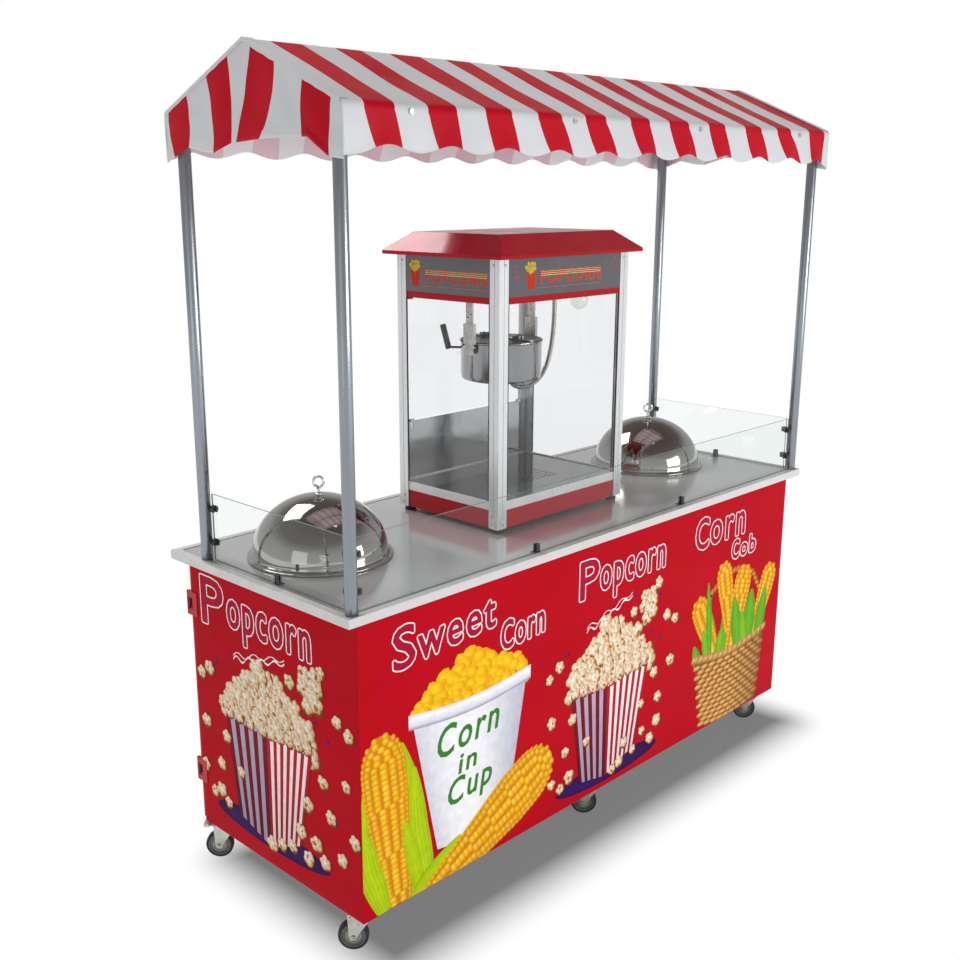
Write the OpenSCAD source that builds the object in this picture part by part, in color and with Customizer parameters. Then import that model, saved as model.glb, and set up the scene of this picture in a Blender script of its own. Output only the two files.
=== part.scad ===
// Popcorn cart: a wrapped cabinet on six casters, a steel counter with two lidded
// boiler basins, a striped canopy on four posts and a popcorn machine with a tipping kettle.
// Millimetres, +Z up, origin on the floor under the middle of the cart, customer side towards -Y.

/* [Counter] */
// Length of the counter along X
counter_len = 1800; // [1700:10:2000]
// Depth of the counter along Y
counter_depth = 660; // [640:10:720]
// Height of the counter's working surface
counter_z = 825; // [825:5:900]
// Thickness of the counter slab and its edge profile
counter_thick = 20; // [18:1:24]
// Width of the edge profile's lip on top of the slab
trim_lip = 20; // [18:1:24]

/* [Cabinet] */
// Overhang of the counter beyond each end of the cabinet
overhang_x = 38; // [36:1:60]
// Overhang of the counter beyond the cabinet's front and back
overhang_y = 22; // [20:1:30]
// Height of the cabinet's underside, which is the height of the casters
caster_h = 100; // [100:1:125]
// Thickness of the wrapped sheet panels
panel_t = 3; // [2:0.5:5]
// Outside width of the frame's square tube
tube_w = 25; // [20:1:30]
// Thickness of the rear doors
door_t = 13; // [10:1:14]

/* [Canopy] */
// Diameter of the four posts
post_d = 28; // [25:1:32]
// Distance of a post's axis from the counter's end
post_in_x = 24; // [22:1:40]
// Distance of a front post's axis from the counter's front edge
post_in_front = 20; // [20:1:40]
// Distance of a back post's axis from the counter's back edge
post_in_back = 122; // [80:1:140]
// Height of the canopy's eaves
eave_z = 1815; // [1800:5:1950]
// Rise from the eaves to the ridge
ridge_rise = 127; // [100:1:180]
// Drop of the valance below the eaves
valance_h = 86; // [80:1:120]
// Length of the canopy along X
canopy_len = 1796; // [1700:2:1800]
// Overhang of the canopy beyond the front and back posts' axes
canopy_out = 35; // [30:1:60]
// Outside width of the canopy frame's square tube
rail_w = 20; // [15:1:25]
// Thickness of the coated fabric
cover_t = 2; // [1.5:0.5:3]

/* [Guards and lids] */
// Height of the glass guards
guard_h = 157; // [120:1:200]
// Thickness of the glass
glass_t = 4; // [4:1:6]
// Radius of a dome lid's rim
dome_r = 172; // [160:1:180]
// Height of a dome lid
dome_h = 146; // [120:1:165]
// Depth of a boiler basin
basin_depth = 140; // [100:5:150]

/* [Popcorn machine] */
// Width of the machine over its corner posts
machine_w = 500; // [460:5:560]
// Depth of the machine over its corner posts
machine_d = 358; // [340:2:400]
// Height of the machine's roof edge above the counter
machine_h = 675; // [660:5:760]
// Offset of the machine along X from the middle of the cart
machine_x = -15; // [-60:5:60]
// Offset of the machine along Y from the middle of the cart
machine_y = 33; // [20:1:50]
// Outer radius of the kettle
kettle_r = 108; // [95:1:110]
// Height of the kettle
kettle_h = 105; // [90:1:110]

/* [Casters] */
// Diameter of the caster wheels
wheel_d = 70; // [60:1:74]
// Width of the caster wheels
wheel_w = 22; // [18:1:26]
// Offset of a wheel's axle from its swivel axis
trail = 26; // [20:1:30]
// Direction in which the wheels trail, in degrees from +X
trail_angle = 134; // [0:1:359]

/* [Hidden] */
$fn = 64;
eps = 0.01;

// counter and cabinet
slab_bottom = counter_z - counter_thick;
trim_t = 0.8;
stiffener_xs = [-845, -420, 0, 420, 845];
side_x = counter_len / 2 - overhang_x;
front_y = -counter_depth / 2 + overhang_y;
back_y = counter_depth / 2 - overhang_y;
frame_x = side_x - panel_t;
frame_front = front_y + panel_t;
frame_bottom = caster_h;
corner_plate = 90;
corner_plate_t = 4;

// posts and canopy
post_x = counter_len / 2 - post_in_x;
post_front = -counter_depth / 2 + post_in_front;
post_back = counter_depth / 2 - post_in_back;
canopy_front = post_front - canopy_out;
canopy_back = post_back + canopy_out;
ridge_y = (canopy_front + canopy_back) / 2;
half_span = (canopy_back - canopy_front) / 2;
slope = atan2(ridge_rise, half_span);
rail_gap = 1;
rail_bottom = eave_z - 25;
screw_z = eave_z - 14;
screw_head_r = 6;
screw_head_t = 3;
screw_r = 2;
screw_xs = [-729, -243, 243, 729];

// the rear door handles reach as far back as the canopy's screws reach forward
reach_y = -canopy_front + screw_head_t;

// rear doors
door_front = back_y + 0.5;
door_back = door_front + door_t;
door_edge_x = side_x - 5;
hinge_x = side_x - 2;
hinge_y = door_back + 5;
hinge_pin_r = 3;
hinge_knuckle_r = 5;
hinge_zs = [frame_bottom + 110, slab_bottom - 150];
running = 0.05;

// boilers and domes
dome_x = [-668, 628];
dome_y = 50;
basin_r = 150;
basin_t = 1.5;
basin_flange_r = 158;
heater_r = 90;
heater_t = 16;
dome_wall = 1.5;
dome_rim_w = 12;
ring_turn = 44;

// guards
guard_gap = 3;
guard_y = post_front + 8;
guard_x = post_x - 12;
guard_base = counter_z + 1.5;
clip_xs = [-300, 300];

// machine
mx0 = machine_x - machine_w / 2;
mx1 = machine_x + machine_w / 2;
my0 = machine_y - machine_d / 2;
my1 = machine_y + machine_d / 2;
foot_h = 12;
base_z = counter_z + foot_h;
band_h = 46;
sill_z = base_z + band_h + 23;
angle_w = 32;
angle_t = 2.5;
inset = 3;
roof_z = counter_z + machine_h;
sign_h = 92;
head_z = roof_z - sign_h - 16;
ceiling_z = head_z + 36;
deck_z = sill_z - 5;
back_panel_top = deck_z + 160;
roof_out = 27;
roof_rise = 55;
roof_lip = 9;
roof_in = 30;
roof_t = 1.5;
machine_door_y = my1 - 7;
machine_pin_r = 2;
machine_pin_x = machine_w / 2 - angle_w - 6;
machine_pin_h = 5;
hinge_block_h = 9;
machine_door_z0 = back_panel_top + hinge_block_h / 2 + 1;
machine_door_z1 = head_z - hinge_block_h - 1;
drawer_w = 300;
drawer_h = 36;
drawer_x = machine_x;
drawer_front = my0 + 70;

// kettle
kx = machine_x - 25;
ky = machine_y + 22;
kettle_top = head_z - 117;
kettle_bottom = kettle_top - kettle_h;
tilt_z = kettle_top - 12;
kettle_wall = 2;
trunnion_r = 5;
boss_r = 10;
boss_len = 8;
hanger_gap = 1.5;
hanger_x = kettle_r + boss_len + hanger_gap;
hanger_t = 4;
lid_t = 1.5;
lid_gap = 0.6;
bar_z = kettle_top + 4;
bar_t = 3;
lid_pin_x = 6;
lid_pin_r = 1.5;
lid_pin_z = bar_z + bar_t + 3.5;
stir_r = 4;
// the coupling stays clear of the rim when the kettle tips
coupling_z = tilt_z + kettle_r + 10;
coupling_r = 7;
handle_angle = 128;
handle_z = kettle_bottom + 82;
conduit_d = 13;
conduit_route = [
    [180, 62, 1425], [181, 61, 1390], [181, 60, 1350], [179, 59, 1310], [174, 58, 1270],
    [165, 57, 1230], [150, 56, 1192], [127, 55, 1163], [100, 55, 1146], [72, 55, 1138],
    [46, 55, 1137], [24, 55, 1141], [8, 55, 1149], [0, 55, 1160]
];
conduit_sides = 10;
switch_x = [machine_x - 60, machine_x + 60];
switch_z = roof_z - 45;

// casters: front left, front middle, front right, back left, back middle, back right
caster_x = side_x - 40;
caster_y = -front_y - 44;
caster_pos = [
    [-caster_x, -caster_y], [0, -caster_y], [caster_x, -caster_y],
    [-caster_x, caster_y], [0, caster_y], [caster_x, caster_y]
];
plate_t = 3;
wheel_z = wheel_d / 2;
axle_r = 4;
hub_r = 9;
cheek_t = 2.5;
cheek_y = wheel_w / 2 + 2;
fork_top = caster_h - plate_t - 9;
pedal_x = 31;
pedal_z = fork_top;
pedal_pin_r = 2.2;
stud_r = 5;

// ---------- helpers ----------

// box given by two corners
module span(a, b) translate(a) cube(b - a);

// square tube along Z, of height h, at corner p
module upright(p, h) translate(p) difference() {
    cube([tube_w, tube_w, h]);
    translate([2, 2, -1]) cube([tube_w - 4, tube_w - 4, h + 2]);
}

// profile in the YZ plane, extruded along X from x0 over len
module along_x(x0, len) translate([x0, 0, 0]) rotate([90, 0, 90]) linear_extrude(len) children();

// ring between two radii
module ring(r_out, r_in, h) difference() {
    cylinder(r = r_out, h = h);
    translate([0, 0, -1]) cylinder(r = r_in, h = h + 2);
}

module mirror_x() {
    children();
    mirror([1, 0, 0]) children();
}

// ---------- cabinet ----------

// welded square-tube frame with plates for the casters
module cabinet_frame() color("gainsboro") {
    z0 = frame_bottom;
    z1 = slab_bottom;
    xs = [-frame_x, -tube_w / 2, frame_x - tube_w];
    ys = [frame_front, back_y - tube_w];
    difference() {
        union() {
            for (x = xs, y = ys) span([x, y, z0], [x + tube_w, y + tube_w, z1]);
            for (y = ys, z = [z0, z1 - tube_w])
                span([-frame_x, y, z], [frame_x, y + tube_w, z + tube_w]);
            for (x = xs, z = [z0, z1 - tube_w])
                span([x, frame_front, z], [x + tube_w, back_y, z + tube_w]);
            for (c = caster_pos)
                translate([c[0] - corner_plate / 2, c[1] - corner_plate / 2, z0])
                    cube([corner_plate, corner_plate, corner_plate_t]);
        }
        // the plates stay inside the panels
        for (s = [-1, 1]) {
            translate([s > 0 ? frame_x : -frame_x - 50, -500, z0 - 1]) cube([50, 1000, 10]);
            translate([-1000, s > 0 ? back_y : frame_front - 50, z0 - 1]) cube([2000, 50, 10]);
        }
    }
}

module front_panel() color("crimson")
    span([-side_x, front_y, caster_h], [side_x, frame_front, slab_bottom]);

module side_panels() color("firebrick") mirror_x()
    span([frame_x, frame_front, caster_h], [side_x, back_y, slab_bottom]);

// shelf on the bottom rails, notched around the uprights
module floor_panel() color("silver") difference() {
    z = frame_bottom + tube_w;
    gap = 0.5;
    span([-frame_x + gap, frame_front + gap, z], [frame_x - gap, back_y - gap, z + panel_t]);
    for (x = [-frame_x, -tube_w / 2, frame_x - tube_w], y = [frame_front, back_y - tube_w])
        translate([x - gap, y - gap, z - 1]) cube([tube_w + 2 * gap, tube_w + 2 * gap, panel_t + 2]);
}

// right-hand rear door with its bow handle and hinge knuckles
module door_right_shape() {
    span([2, door_front, caster_h + 4], [door_edge_x, door_back, slab_bottom - 3]);
    handle_x = 60;
    handle_z = slab_bottom - 170;
    for (z = [handle_z, handle_z + 120])
        translate([handle_x - 6, door_back - eps, z]) cube([12, reach_y - door_back - 6, 12]);
    translate([handle_x - 6, reach_y - 8, handle_z]) cube([12, 8, 132]);
    for (z = hinge_zs) difference() {
        union() {
            translate([door_edge_x - 40, door_back - eps, z + 15.2]) cube([40, 2, 29.6]);
            translate([hinge_x, hinge_y, z + 15.2]) cylinder(r = hinge_knuckle_r, h = 29.6);
        }
        translate([hinge_x, hinge_y, z]) cylinder(r = hinge_pin_r + running, h = 60);
    }
}

module door_right() color("crimson") door_right_shape();

module door_left() color("crimson") mirror([1, 0, 0]) door_right_shape();

// fixed leaves on the side panels, with their knuckles and pins
module door_hinges() color("silver") mirror_x() for (z = hinge_zs) {
    span([side_x, back_y - 20, z], [side_x + 2, hinge_y + 1, z + 15]);
    span([side_x, back_y - 20, z + 45], [side_x + 2, hinge_y + 1, z + 60]);
    span([side_x, back_y - 20, z], [side_x + 2, back_y - 2, z + 60]);
    translate([hinge_x, hinge_y, z]) cylinder(r = hinge_knuckle_r, h = 15);
    translate([hinge_x, hinge_y, z + 45]) cylinder(r = hinge_knuckle_r, h = 15);
    translate([hinge_x, hinge_y, z]) cylinder(r = hinge_pin_r, h = 60);
}

// ---------- counter ----------

// folded steel worktop: a thin skin with a downturned edge, stiffeners and pads under the posts
module counter_top() color("lightgray") {
    l = counter_len / 2 - trim_t;
    d = counter_depth / 2 - trim_t;
    skin = 1.5;
    difference() {
        span([-l, -d, slab_bottom], [l, d, counter_z]);
        span([-l + skin, -d + skin, slab_bottom - 1], [l - skin, d - skin, counter_z - skin]);
        for (x = dome_x) translate([x, dome_y, slab_bottom - 1])
            cylinder(r = basin_r + 1, h = counter_thick + 2);
    }
    for (x = stiffener_xs) span([x - 1, -d + 1, slab_bottom], [x + 1, d - 1, counter_z - 1]);
    for (x = [-post_x, post_x], y = [post_front, post_back])
        translate([x, y, slab_bottom]) cylinder(r = post_d / 2, h = counter_thick - 1);
}

// folded aluminium edge: a face around the slab and a thin lip on top of it
module counter_trim() color("whitesmoke") difference() {
    l = counter_len / 2;
    d = counter_depth / 2;
    span([-l, -d, slab_bottom], [l, d, counter_z + trim_t]);
    span([-l + trim_t, -d + trim_t, slab_bottom - 1], [l - trim_t, d - trim_t, counter_z]);
    span([-l + trim_lip, -d + trim_lip, counter_z - 1], [l - trim_lip, d - trim_lip, counter_z + 2]);
    for (x = [-post_x, post_x], y = [post_front, post_back])
        translate([x, y, counter_z - 1]) cylinder(r = post_d / 2 + 0.2, h = 3);
}

// flanged steel pan, hanging in the slab
module basin(x) translate([x, dome_y, 0]) difference() {
    union() {
        translate([0, 0, counter_z - basin_depth]) cylinder(r = basin_r, h = basin_depth);
        translate([0, 0, counter_z]) cylinder(r = basin_flange_r, h = 1);
    }
    translate([0, 0, counter_z - basin_depth + basin_t])
        cylinder(r = basin_r - basin_t, h = basin_depth + 2);
}

module basin_left() color("silver") basin(dome_x[0]);

module basin_right() color("silver") basin(dome_x[1]);

module basin_heaters() color("dimgray") for (x = dome_x)
    translate([x, dome_y, counter_z - basin_depth - heater_t]) cylinder(r = heater_r, h = heater_t);

// half-round lid with a rolled rim, and a ring handle on a stem
module dome(x) translate([x, dome_y, counter_z + 1.3]) {
    k = dome_h / (dome_r - dome_rim_w);
    shell_r = dome_r - dome_rim_w;
    arc = [for (a = [0 : 5 : 90]) [shell_r * cos(a), 3 + (dome_h - 3) * sin(a)]];
    inner = [for (a = [90 : -5 : 0])
        [(shell_r - dome_wall) * cos(a), (dome_h - 3) * sin(a) + 3 - dome_wall * sin(a)]];
    rotate_extrude($fn = 96) polygon(concat(
        [[dome_r, 0], [dome_r, 4], [dome_r - 2, 4], [dome_r - 3, 2.5], [shell_r + 1, 2.5]],
        arc, [for (p = inner) [max(p[0], 0), p[1]]], [[shell_r - dome_wall, 0]]));
    translate([0, 0, dome_h - 0.5]) {
        cylinder(r = 9, h = 4);
        cylinder(r = 3, h = 14);
        translate([0, 0, 12]) cylinder(r = 5, h = 6);
        translate([0, 0, 30]) rotate([0, 90, ring_turn])
            rotate_extrude() translate([12, 0]) circle(r = 3, $fn = 24);
    }
}

module dome_left() color("silver") dome(dome_x[0]);

module dome_right() color("silver") dome(dome_x[1]);

// ---------- posts and canopy ----------

module posts() color("silver") for (x = [-post_x, post_x], y = [post_front, post_back])
    translate([x, y, counter_z]) difference() {
        cylinder(d = post_d, h = rail_bottom - counter_z);
        translate([0, 0, -1]) cylinder(d = post_d - 3, h = rail_bottom - counter_z - 9);
    }

// one slanted rafter, from the front rail to the ridge rail
module rafter(x) along_x(x, rail_w) {
    top = cover_t + rail_gap;
    y0 = canopy_front + cover_t + rail_gap;
    y1 = ridge_y - rail_w / 2;
    z0 = eave_z;
    z1 = eave_z + (y1 - y0) * tan(slope);
    drop = top / cos(slope);
    polygon([[y0, z0 - drop], [y1, z1 - drop], [y1, z1 - drop - rail_w], [y0 + rail_w, z0 - rail_w],
        [y0, z0 - rail_w]]);
}

module canopy_frame() color("gainsboro") {
    y0 = canopy_front + cover_t + rail_gap;
    y1 = canopy_back - cover_t - rail_gap;
    x1 = canopy_len / 2 - cover_t - rail_gap;
    top = eave_z - 2 * cover_t - rail_gap;
    ridge_top = eave_z + ridge_rise - 14;
    difference() {
        union() {
            for (y = [y0, y1 - rail_w]) span([-x1, y, rail_bottom], [x1, y + rail_w, top]);
            for (x = [-x1, x1 - rail_w]) span([x, y0, rail_bottom], [x + rail_w, y1, top]);
            span([-x1, ridge_y - rail_w / 2, ridge_top - rail_w], [x1, ridge_y + rail_w / 2, ridge_top]);
            for (x = [-x1, -rail_w / 2, x1 - rail_w]) {
                rafter(x);
                translate([0, 2 * ridge_y, 0]) mirror([0, 1, 0]) rafter(x);
            }
        }
        canopy_screw_holes(screw_r, 18);
    }
}

// bores for the valance screws, entering from the front and the back
module canopy_screw_holes(r, depth) for (x = screw_xs) {
    translate([x, canopy_front - 1, screw_z]) rotate([-90, 0, 0]) cylinder(r = r, h = depth + 1);
    translate([x, canopy_back + 1, screw_z]) rotate([90, 0, 0]) cylinder(r = r, h = depth + 1);
}

// cross-section of the tent: eaves, ridge and valances, shrunk inwards by t
module tent(t, floor_z) polygon([
    [canopy_front + t, floor_z], [canopy_front + t, eave_z - t * tan(slope / 2)],
    [ridge_y, eave_z + ridge_rise - t / cos(slope)],
    [canopy_back - t, eave_z - t * tan(slope / 2)], [canopy_back - t, floor_z]
]);

// striped fabric roof with gable ends and a valance all round, open below
module canopy_cover() color("tomato") difference() {
    along_x(-canopy_len / 2, canopy_len) tent(0, eave_z - valance_h);
    along_x(-canopy_len / 2 + cover_t, canopy_len - 2 * cover_t) tent(cover_t, eave_z - valance_h - 1);
    canopy_screw_holes(screw_r + 0.3, 5);
}

module canopy_screws() color("silver") for (x = screw_xs) {
    translate([x, canopy_front - screw_head_t, screw_z]) rotate([-90, 0, 0]) {
        cylinder(r = screw_head_r, h = screw_head_t);
        cylinder(r = screw_r, h = screw_head_t + 18);
    }
    translate([x, canopy_back + screw_head_t, screw_z]) rotate([90, 0, 0]) {
        cylinder(r = screw_head_r, h = screw_head_t);
        cylinder(r = screw_r, h = screw_head_t + 18);
    }
}

// ---------- glass guards ----------

module guard_front() color("azure", 0.4)
    span([-post_x + post_d / 2 + guard_gap, guard_y - glass_t, guard_base],
        [post_x - post_d / 2 - guard_gap, guard_y, guard_base + guard_h]);

module guard_ends() color("azure", 0.4) mirror_x()
    span([guard_x, post_front + post_d / 2 + guard_gap, guard_base],
        [guard_x + glass_t, post_back - post_d / 2 - guard_gap, guard_base + guard_h]);

// clip holding a pane that stands along X at y from -glass_t to 0: a foot with two jaws
module foot_clip() {
    translate([-9, -8, 0]) cube([18, 18, 1.4]);
    translate([-6, 0.1, 0]) cube([12, 3.5, 22]);
    translate([-6, -glass_t - 3.6, 0]) cube([12, 3.5, 22]);
}

// clip on a post at the pane's end x = 0, with the post on the +X side
module post_clip() for (z = [35, 115]) translate([0, 0, z]) {
    translate([-12, 0.1, 0]) cube([19, 4, 14]);
    translate([-12, -glass_t - 4.1, 0]) cube([19, 4, 14]);
    translate([-6, 4, 7]) rotate([-90, 0, 0]) cylinder(r = 4.5, h = 3);
    translate([-6, -glass_t - 4, 7]) rotate([90, 0, 0]) cylinder(r = 4.5, h = 3);
}

module guard_clips() color("dimgray") mirror_x() {
    x_end = post_x - post_d / 2 - guard_gap;
    y_front = post_front + post_d / 2 + guard_gap;
    y_back = post_back - post_d / 2 - guard_gap;
    translate([clip_xs[1], guard_y, counter_z]) foot_clip();
    translate([guard_x, (y_front + y_back) / 2, counter_z]) rotate(90) foot_clip();
    translate([x_end, guard_y, guard_base]) post_clip();
    translate([guard_x, y_back, guard_base]) rotate(90) post_clip();
    translate([guard_x + glass_t, y_front, guard_base]) rotate(-90) post_clip();
}

// ---------- popcorn machine ----------

// red band with a steel sill on top, open above and at the back for the drawer
module machine_base() {
    x0 = mx0 + inset;
    x1 = mx1 - inset;
    y0 = my0 + inset;
    y1 = my1 - inset;
    color("red") difference() {
        span([x0, y0, base_z], [x1, y1, base_z + band_h]);
        span([x0 + 2, y0 + 2, base_z + 2], [x1 - 2, y1 - 2, sill_z]);
        span([drawer_x - drawer_w / 2 - 1, y1 - 3, base_z + 3],
            [drawer_x + drawer_w / 2 + 1, y1 + 1, base_z + 5 + drawer_h]);
    }
    color("white") difference() {
        span([x0, y0, base_z + band_h], [x1, y1, sill_z]);
        span([x0 + 2, y0 + 2, base_z], [x1 - 2, y1 - 2, sill_z + 1]);
    }
}

module machine_feet() color("black") for (x = [mx0 + 20, mx1 - 20], y = [my0 + 20, my1 - 20])
    translate([x, y, counter_z]) cylinder(r = 15, h = foot_h);

// aluminium angle at each corner
module corner_posts() color("silver") for (i = [0, 1], j = [0, 1])
    translate([i ? mx1 : mx0, j ? my1 : my0, base_z]) mirror([i, 0, 0]) mirror([0, j, 0])
        linear_extrude(roof_z - base_z)
            polygon([[0, 0], [angle_w, 0], [angle_w, angle_t], [angle_t, angle_t],
                [angle_t, angle_w], [0, angle_w]]);

// front pane and two side panes
module machine_glass() color("azure", 0.4) {
    z0 = sill_z + 0.5;
    z1 = head_z - 0.5;
    t = 3;
    span([mx0 + 6.5, my0 + inset, z0], [mx1 - 6.5, my0 + inset + t, z1]);
    span([mx0 + inset, my0 + 7, z0], [mx0 + inset + t, my1 - 14, z1]);
    span([mx1 - inset - t, my0 + 7, z0], [mx1 - inset, my1 - 14, z1]);
}

// block with the bore for a rear door's pivot pin, from z up
module hinge_block(side, z)
    translate([machine_x + side * machine_pin_x, machine_door_y, z]) difference() {
    span([-7, -4, 0], [7, 4, hinge_block_h]);
    translate([0, 0, -1]) cylinder(r = machine_pin_r + running, h = hinge_block_h + 2);
}

// steel sheet below the rear doors, with their lower hinge blocks on its top edge
module machine_back_panel() color("silver") {
    difference() {
        span([mx0 + 7, my1 - 8, sill_z], [mx1 - 7, my1 - 6, back_panel_top]);
        for (side = [-1, 1])
            translate([machine_x + side * machine_pin_x, machine_door_y, back_panel_top - 20])
                cylinder(r = machine_pin_r + running, h = 30);
    }
    for (side = [-1, 1]) hinge_block(side, back_panel_top - hinge_block_h / 2);
}

// clear rear door on pivot pins at its outer edge, with a knob at the meeting edge
module machine_door(side) translate([machine_x, machine_door_y, 0]) mirror([side < 0 ? 1 : 0, 0, 0]) {
    z0 = machine_door_z0;
    z1 = machine_door_z1;
    color("azure", 0.4) span([1.5, -2, z0], [machine_pin_x + 3, 2, z1]);
    color("silver") for (z = [z0 - machine_pin_h, z1])
        translate([machine_pin_x, 0, z]) cylinder(r = machine_pin_r, h = machine_pin_h);
    color("black") translate([16, 2, (z0 + z1) / 2]) rotate([-90, 0, 0]) cylinder(r = 8, h = 14);
}

module machine_door_left() machine_door(-1);

module machine_door_right() machine_door(1);

// steel head that carries the kettle: open above for the motor, recessed below
module machine_head() color("red") {
    x0 = mx0 + inset;
    x1 = mx1 - inset;
    y0 = my0 + inset;
    y1 = my1 - inset;
    difference() {
        span([x0, y0, head_z], [x1, y1, roof_z]);
        span([x0 + 9, y0 + 9, head_z - 1], [x1 - 9, y1 - 9, ceiling_z]);
        span([x0 + 2, y0 + 2, ceiling_z + 2], [x1 - 2, y1 - 2, roof_z + 1]);
        translate([kx, ky, ceiling_z - 1]) cylinder(r = stir_r + running, h = 4);
        for (x = switch_x) span([x - 10, y1 - 3, switch_z - 14], [x + 10, y1 + 1, switch_z + 14]);
    }
    for (side = [-1, 1]) hinge_block(side, head_z - hinge_block_h);
}

// front and side sign plates of the head
module sign_panels() color("dimgray") {
    z0 = roof_z - sign_h;
    span([mx0 + angle_w + 1, my0 + 1, z0], [mx1 - angle_w - 1, my0 + inset, roof_z - 1]);
    for (x = [mx0 + 1, mx1 - inset])
        span([x, my0 + angle_w + 1, z0], [x + 2, my1 - angle_w - 1, roof_z - 1]);
}

// pyramid frustum over the machine, shrunk inwards by t
module roof_block(t) hull() {
    span([mx0 - roof_out + t, my0 - roof_out + t, roof_z - (t > 0 ? 1 : 0)],
        [mx1 + roof_out - t, my1 + roof_out - t, roof_z + roof_lip - t / 2]);
    span([mx0 + roof_in + t, my0 + roof_in + t, roof_z + roof_rise - t - 1],
        [mx1 - roof_in - t, my1 - roof_in - t, roof_z + roof_rise - t]);
}

// hipped roof of folded sheet with a level lip
module machine_roof() color("red") difference() {
    roof_block(0);
    roof_block(roof_t);
}

// perforated steel floor of the popcorn cabinet
module popcorn_deck() color("silver") difference() {
    span([mx0 + 6, my0 + 6, deck_z], [mx1 - 6, my1 - 9, deck_z + 1.5]);
    for (i = [-4 : 4], j = [-3 : 3])
        translate([drawer_x + i * 24 - 8, machine_y - 30 + j * 14, deck_z - 1]) cube([16, 4, 4]);
}

// drawer for unpopped kernels, pulled out at the back
module crumb_drawer() color("silver") {
    y1 = my1 - inset;
    z = base_z + 4;
    difference() {
        span([drawer_x - drawer_w / 2, drawer_front, z], [drawer_x + drawer_w / 2, y1, z + drawer_h]);
        span([drawer_x - drawer_w / 2 + 1.5, drawer_front + 1.5, z + 1.5],
            [drawer_x + drawer_w / 2 - 1.5, y1 - 1.5, z + drawer_h + 1]);
    }
    translate([drawer_x, y1 - eps, z + drawer_h / 2]) rotate([-90, 0, 0]) cylinder(r = 8, h = 12);
}

// ---------- kettle ----------

// steel pan with a rolled rim and a trunnion boss on each side
module kettle() color("silver") translate([kx, ky, 0]) {
    r = kettle_r;
    rotate_extrude($fn = 96) polygon([[0, kettle_bottom], [r - 14, kettle_bottom], [r - 4, kettle_bottom + 4],
        [r - 1, kettle_bottom + 14], [r - 1, kettle_top - 3], [r + 2, kettle_top - 3], [r + 2, kettle_top],
        [r - 3, kettle_top], [r - 3, kettle_bottom + 15], [r - 6, kettle_bottom + 6],
        [r - 15, kettle_bottom + kettle_wall], [0, kettle_bottom + kettle_wall]]);
    for (s = [-1, 1]) translate([s * (r - 2), 0, tilt_z]) rotate([0, s * 90, 0])
        difference() {
            cylinder(r = boss_r, h = boss_len + 2);
            translate([0, 0, 2]) cylinder(r = trunnion_r + running, h = boss_len + 1);
        }
}

// bar across the rim that carries the lids' pins and the stirrer's bearing
module kettle_crossbar() color("silver") translate([kx, ky, 0]) difference() {
    union() {
        span([-5, -kettle_r, kettle_top], [5, -kettle_r + 5, bar_z]);
        span([-5, kettle_r - 5, kettle_top], [5, kettle_r, bar_z]);
        span([-9, -kettle_r, bar_z], [9, kettle_r, bar_z + bar_t]);
        translate([0, 0, bar_z]) cylinder(r = 9, h = 8);
        for (side = [-1, 1], end = [-1, 1]) translate([side * lid_pin_x, end * 58, lid_pin_z]) {
            rotate([90, 0, 0]) cylinder(r = lid_pin_r, h = 26, center = true);
            translate([-3, end > 0 ? 10 : -13, bar_z + bar_t - lid_pin_z]) cube([6, 3, 6.5]);
        }
    }
    translate([0, 0, bar_z - 1]) cylinder(r = stir_r + running, h = 12);
}

// half-round lid beside the crossbar, with two knuckles on its hinge edge
module kettle_lid(side) translate([kx, ky, 0]) mirror([side < 0 ? 1 : 0, 0, 0]) {
    z = kettle_top + lid_gap;
    difference() {
        translate([0, 0, z]) cylinder(r = kettle_r - 1, h = lid_t);
        span([-200, -200, z - 1], [10.5, 200, z + 5]);
    }
    for (end = [-1, 1]) translate([0, end * 58, 0]) {
        span([10.5, -8, z], [12, 8, lid_pin_z + 1]);
        difference() {
            union() {
                translate([lid_pin_x, 0, lid_pin_z]) rotate([90, 0, 0]) cylinder(r = 3, h = 16, center = true);
                span([lid_pin_x, -8, lid_pin_z - 1], [12, 8, lid_pin_z + 1]);
            }
            translate([lid_pin_x, 0, lid_pin_z]) rotate([90, 0, 0])
                cylinder(r = lid_pin_r + running, h = 20, center = true);
        }
    }
}

module kettle_lid_left() color("dimgray") kettle_lid(-1);

module kettle_lid_right() color("dimgray") kettle_lid(1);

// straps from the ceiling with the pins that the kettle tips on
module kettle_hangers() color("lightgray") translate([kx, ky, 0]) for (s = [-1, 1]) {
    x = s * (hanger_x + hanger_t / 2);
    translate([x, 0, 0]) {
        span([-hanger_t / 2, -12, tilt_z - 18], [hanger_t / 2, 12, ceiling_z]);
        span([-hanger_t / 2 - 3, -18, tilt_z + 10], [hanger_t / 2 + 3, 18, tilt_z + 62]);
    }
    translate([s * (kettle_r + 1), 0, tilt_z]) rotate([0, s * 90, 0]) cylinder(r = trunnion_r, h = boss_len + 2);
}

// rod with an upright grip, on the kettle's operator side
module kettle_handle() translate([kx, ky, handle_z]) rotate(handle_angle) {
    color("silver") translate([kettle_r - 1, 0, 0]) rotate([0, 90, 0]) cylinder(r = 3, h = 36);
    color("black") translate([kettle_r + 32, 0, -4]) rotate([0, 14, 0]) cylinder(r = 8, h = 66);
}

// shaft with a sweeping blade just above the kettle's floor
module stirrer() color("silver") translate([kx, ky, 0]) {
    z = kettle_bottom + kettle_wall + 1;
    translate([0, 0, z]) cylinder(r = stir_r, h = coupling_z - z);
    translate([0, 0, coupling_z - 12]) cylinder(r = coupling_r, h = 12);
    translate([0, 0, z]) cylinder(r = 9, h = 8);
    translate([-80, -2, z]) cube([160, 4, 6]);
}

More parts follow.
